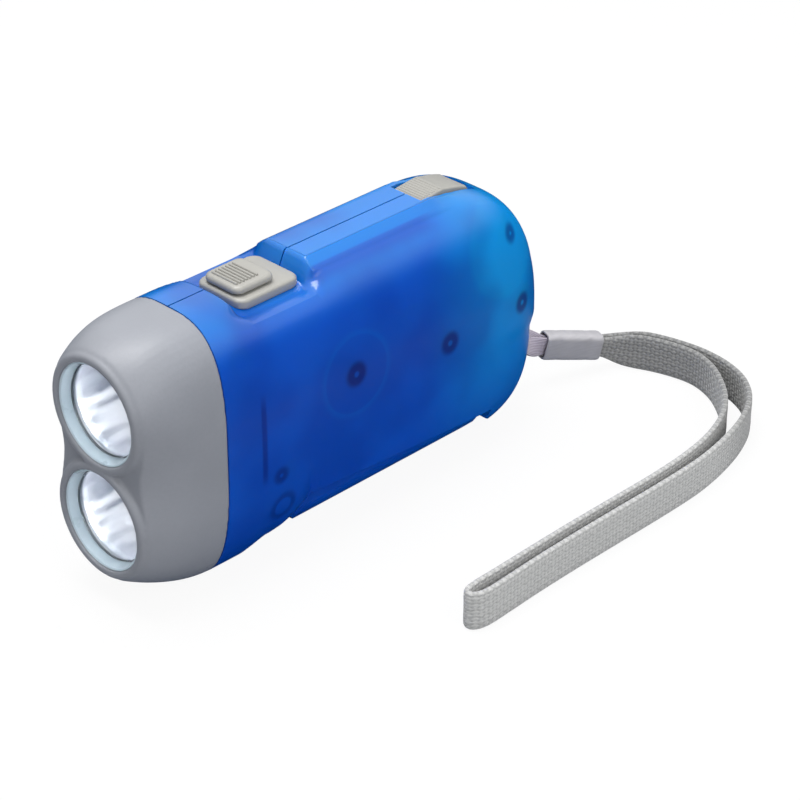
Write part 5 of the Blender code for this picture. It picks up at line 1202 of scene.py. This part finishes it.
def repeated(name, shape, count, pitch, material):
    """Copies of a shape at even steps along X, as one mesh."""
    holder = bpy.data.objects.new(name, bpy.data.meshes.new(name))
    bpy.context.scene.collection.objects.link(holder)
    pattern = bpy.data.objects.new("pattern", gathered(shape))
    bpy.context.scene.collection.objects.link(pattern)
    tree = bpy.data.node_groups.new(name, "GeometryNodeTree")
    tree.interface.new_socket("Geometry", in_out="OUTPUT", socket_type="NodeSocketGeometry")
    given, result, line, info, copies, real, paint, step = (tree.nodes.new(kind) for kind in (
        "NodeGroupInput", "NodeGroupOutput", "GeometryNodeMeshLine", "GeometryNodeObjectInfo",
        "GeometryNodeInstanceOnPoints", "GeometryNodeRealizeInstances", "GeometryNodeSetMaterial",
        "ShaderNodeCombineXYZ"))
    values = {}
    for label, kind, value in (("Count", "Int", count), ("Pitch", "Float", pitch),
                               ("Piece", "Object", pattern), ("Finish", "Material", material)):
        made = tree.interface.new_socket(label, in_out="INPUT", socket_type="NodeSocket" + kind)
        values[made.identifier] = value
    for source, output, target, socket in (
            (given, "Count", line, "Count"), (given, "Pitch", step, 0), (step, 0, line, "Offset"),
            (given, "Piece", info, "Object"), (line, 0, copies, "Points"),
            (info, "Geometry", copies, "Instance"), (copies, 0, real, 0), (real, 0, paint, "Geometry"),
            (given, "Finish", paint, "Material"), (paint, 0, result, 0)):
        tree.links.new(source.outputs[output], target.inputs[socket])
    change = holder.modifiers.new("copies", "NODES")
    change.node_group = tree
    for socket, value in values.items():
        change[socket] = value
    applied(holder)
    bpy.data.objects.remove(pattern)
    dressed(holder, material, 50)
    return holder


def rib(back, height, half, tall):
    """Half-round rib from side to side."""
    outline = [(back + half * math.cos(math.radians(angle)), height + tall * math.sin(math.radians(angle)))
               for angle in range(0, 181, 20)]
    return prism(outline, -RIB_REACH, RIB_REACH)


first = rib(KNOB_START + 0.0014, KNOB_TOP - 0.0001, 0.00028, 0.0005)
knob_ribs = repeated("switch_knob_ribs", first, 7, RIB_PITCH, sand)
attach(knob_ribs, "switch")

# The lock is a thumb slide in a channel at the rear of the raised back.
# Its front half is ribbed and climbs to a crest, and behind it a smooth plate falls to the crown.
LOCK_ROWS = 40
LOCK_LOW_RISE = 0.00035
LOCK_CREST_RISE = 0.00105
LOCK_EDGE = 0.0005
LOCK_RIB_START = 0.0008
LOCK_RIB_PITCH = 0.00072
crest = (LOCK_START + LOCK_END) / 2
rings = []
for index in range(LOCK_ROWS + 1):
    back = LOCK_START + (LOCK_END - LOCK_START) * index / LOCK_ROWS
    rise = ramp(back, ((LOCK_START, LOCK_LOW_RISE), (crest - 0.0002, LOCK_CREST_RISE),
                       (crest + 0.0008, 0.00085), (LOCK_END, 0.0004)))
    edge = min(back - LOCK_START, LOCK_END - back, 0.0004) / 0.0004
    fall = 0.0003 * (1 - math.sqrt(max(1 - (1 - edge) ** 2, 0)))
    ring = [(-LOCK_HALF_WIDTH, crown_height(back) - 0.0006)]
    ring += [(inset - LOCK_HALF_WIDTH, height)
             for height, inset in quarter(crown_height(back) + rise - fall, LOCK_EDGE)]
    ring += [(-side, height) for side, height in reversed(ring)]
    rings.append([Vector((at(back), side, height)) for side, height in ring])
lock = link("lock_slide", gathered(loft(rings)), sand)
combined(lock, "UNION", block(0.0890, 0.0910, 0.0014, BARREL_HEIGHT - 0.0060, 0.0556))
dressed(lock, sand)
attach(lock, "lock")
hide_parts("lock_slider")
low = crown_height(LOCK_START) + LOCK_LOW_RISE
tilt = (crown_height(crest) + LOCK_CREST_RISE - low) / (crest - LOCK_START)
first = rib(LOCK_START + LOCK_RIB_START, low + LOCK_RIB_START * tilt - 0.0001, 0.00022, 0.0003)
lock_ribs = repeated("lock_slide_ribs", first, 8, LOCK_RIB_PITCH, sand)
for vertex in lock_ribs.data.vertices:
    vertex.co.z += (vertex.co.x - at(LOCK_START + LOCK_RIB_START)) * tilt
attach(lock_ribs, "lock")

low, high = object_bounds()
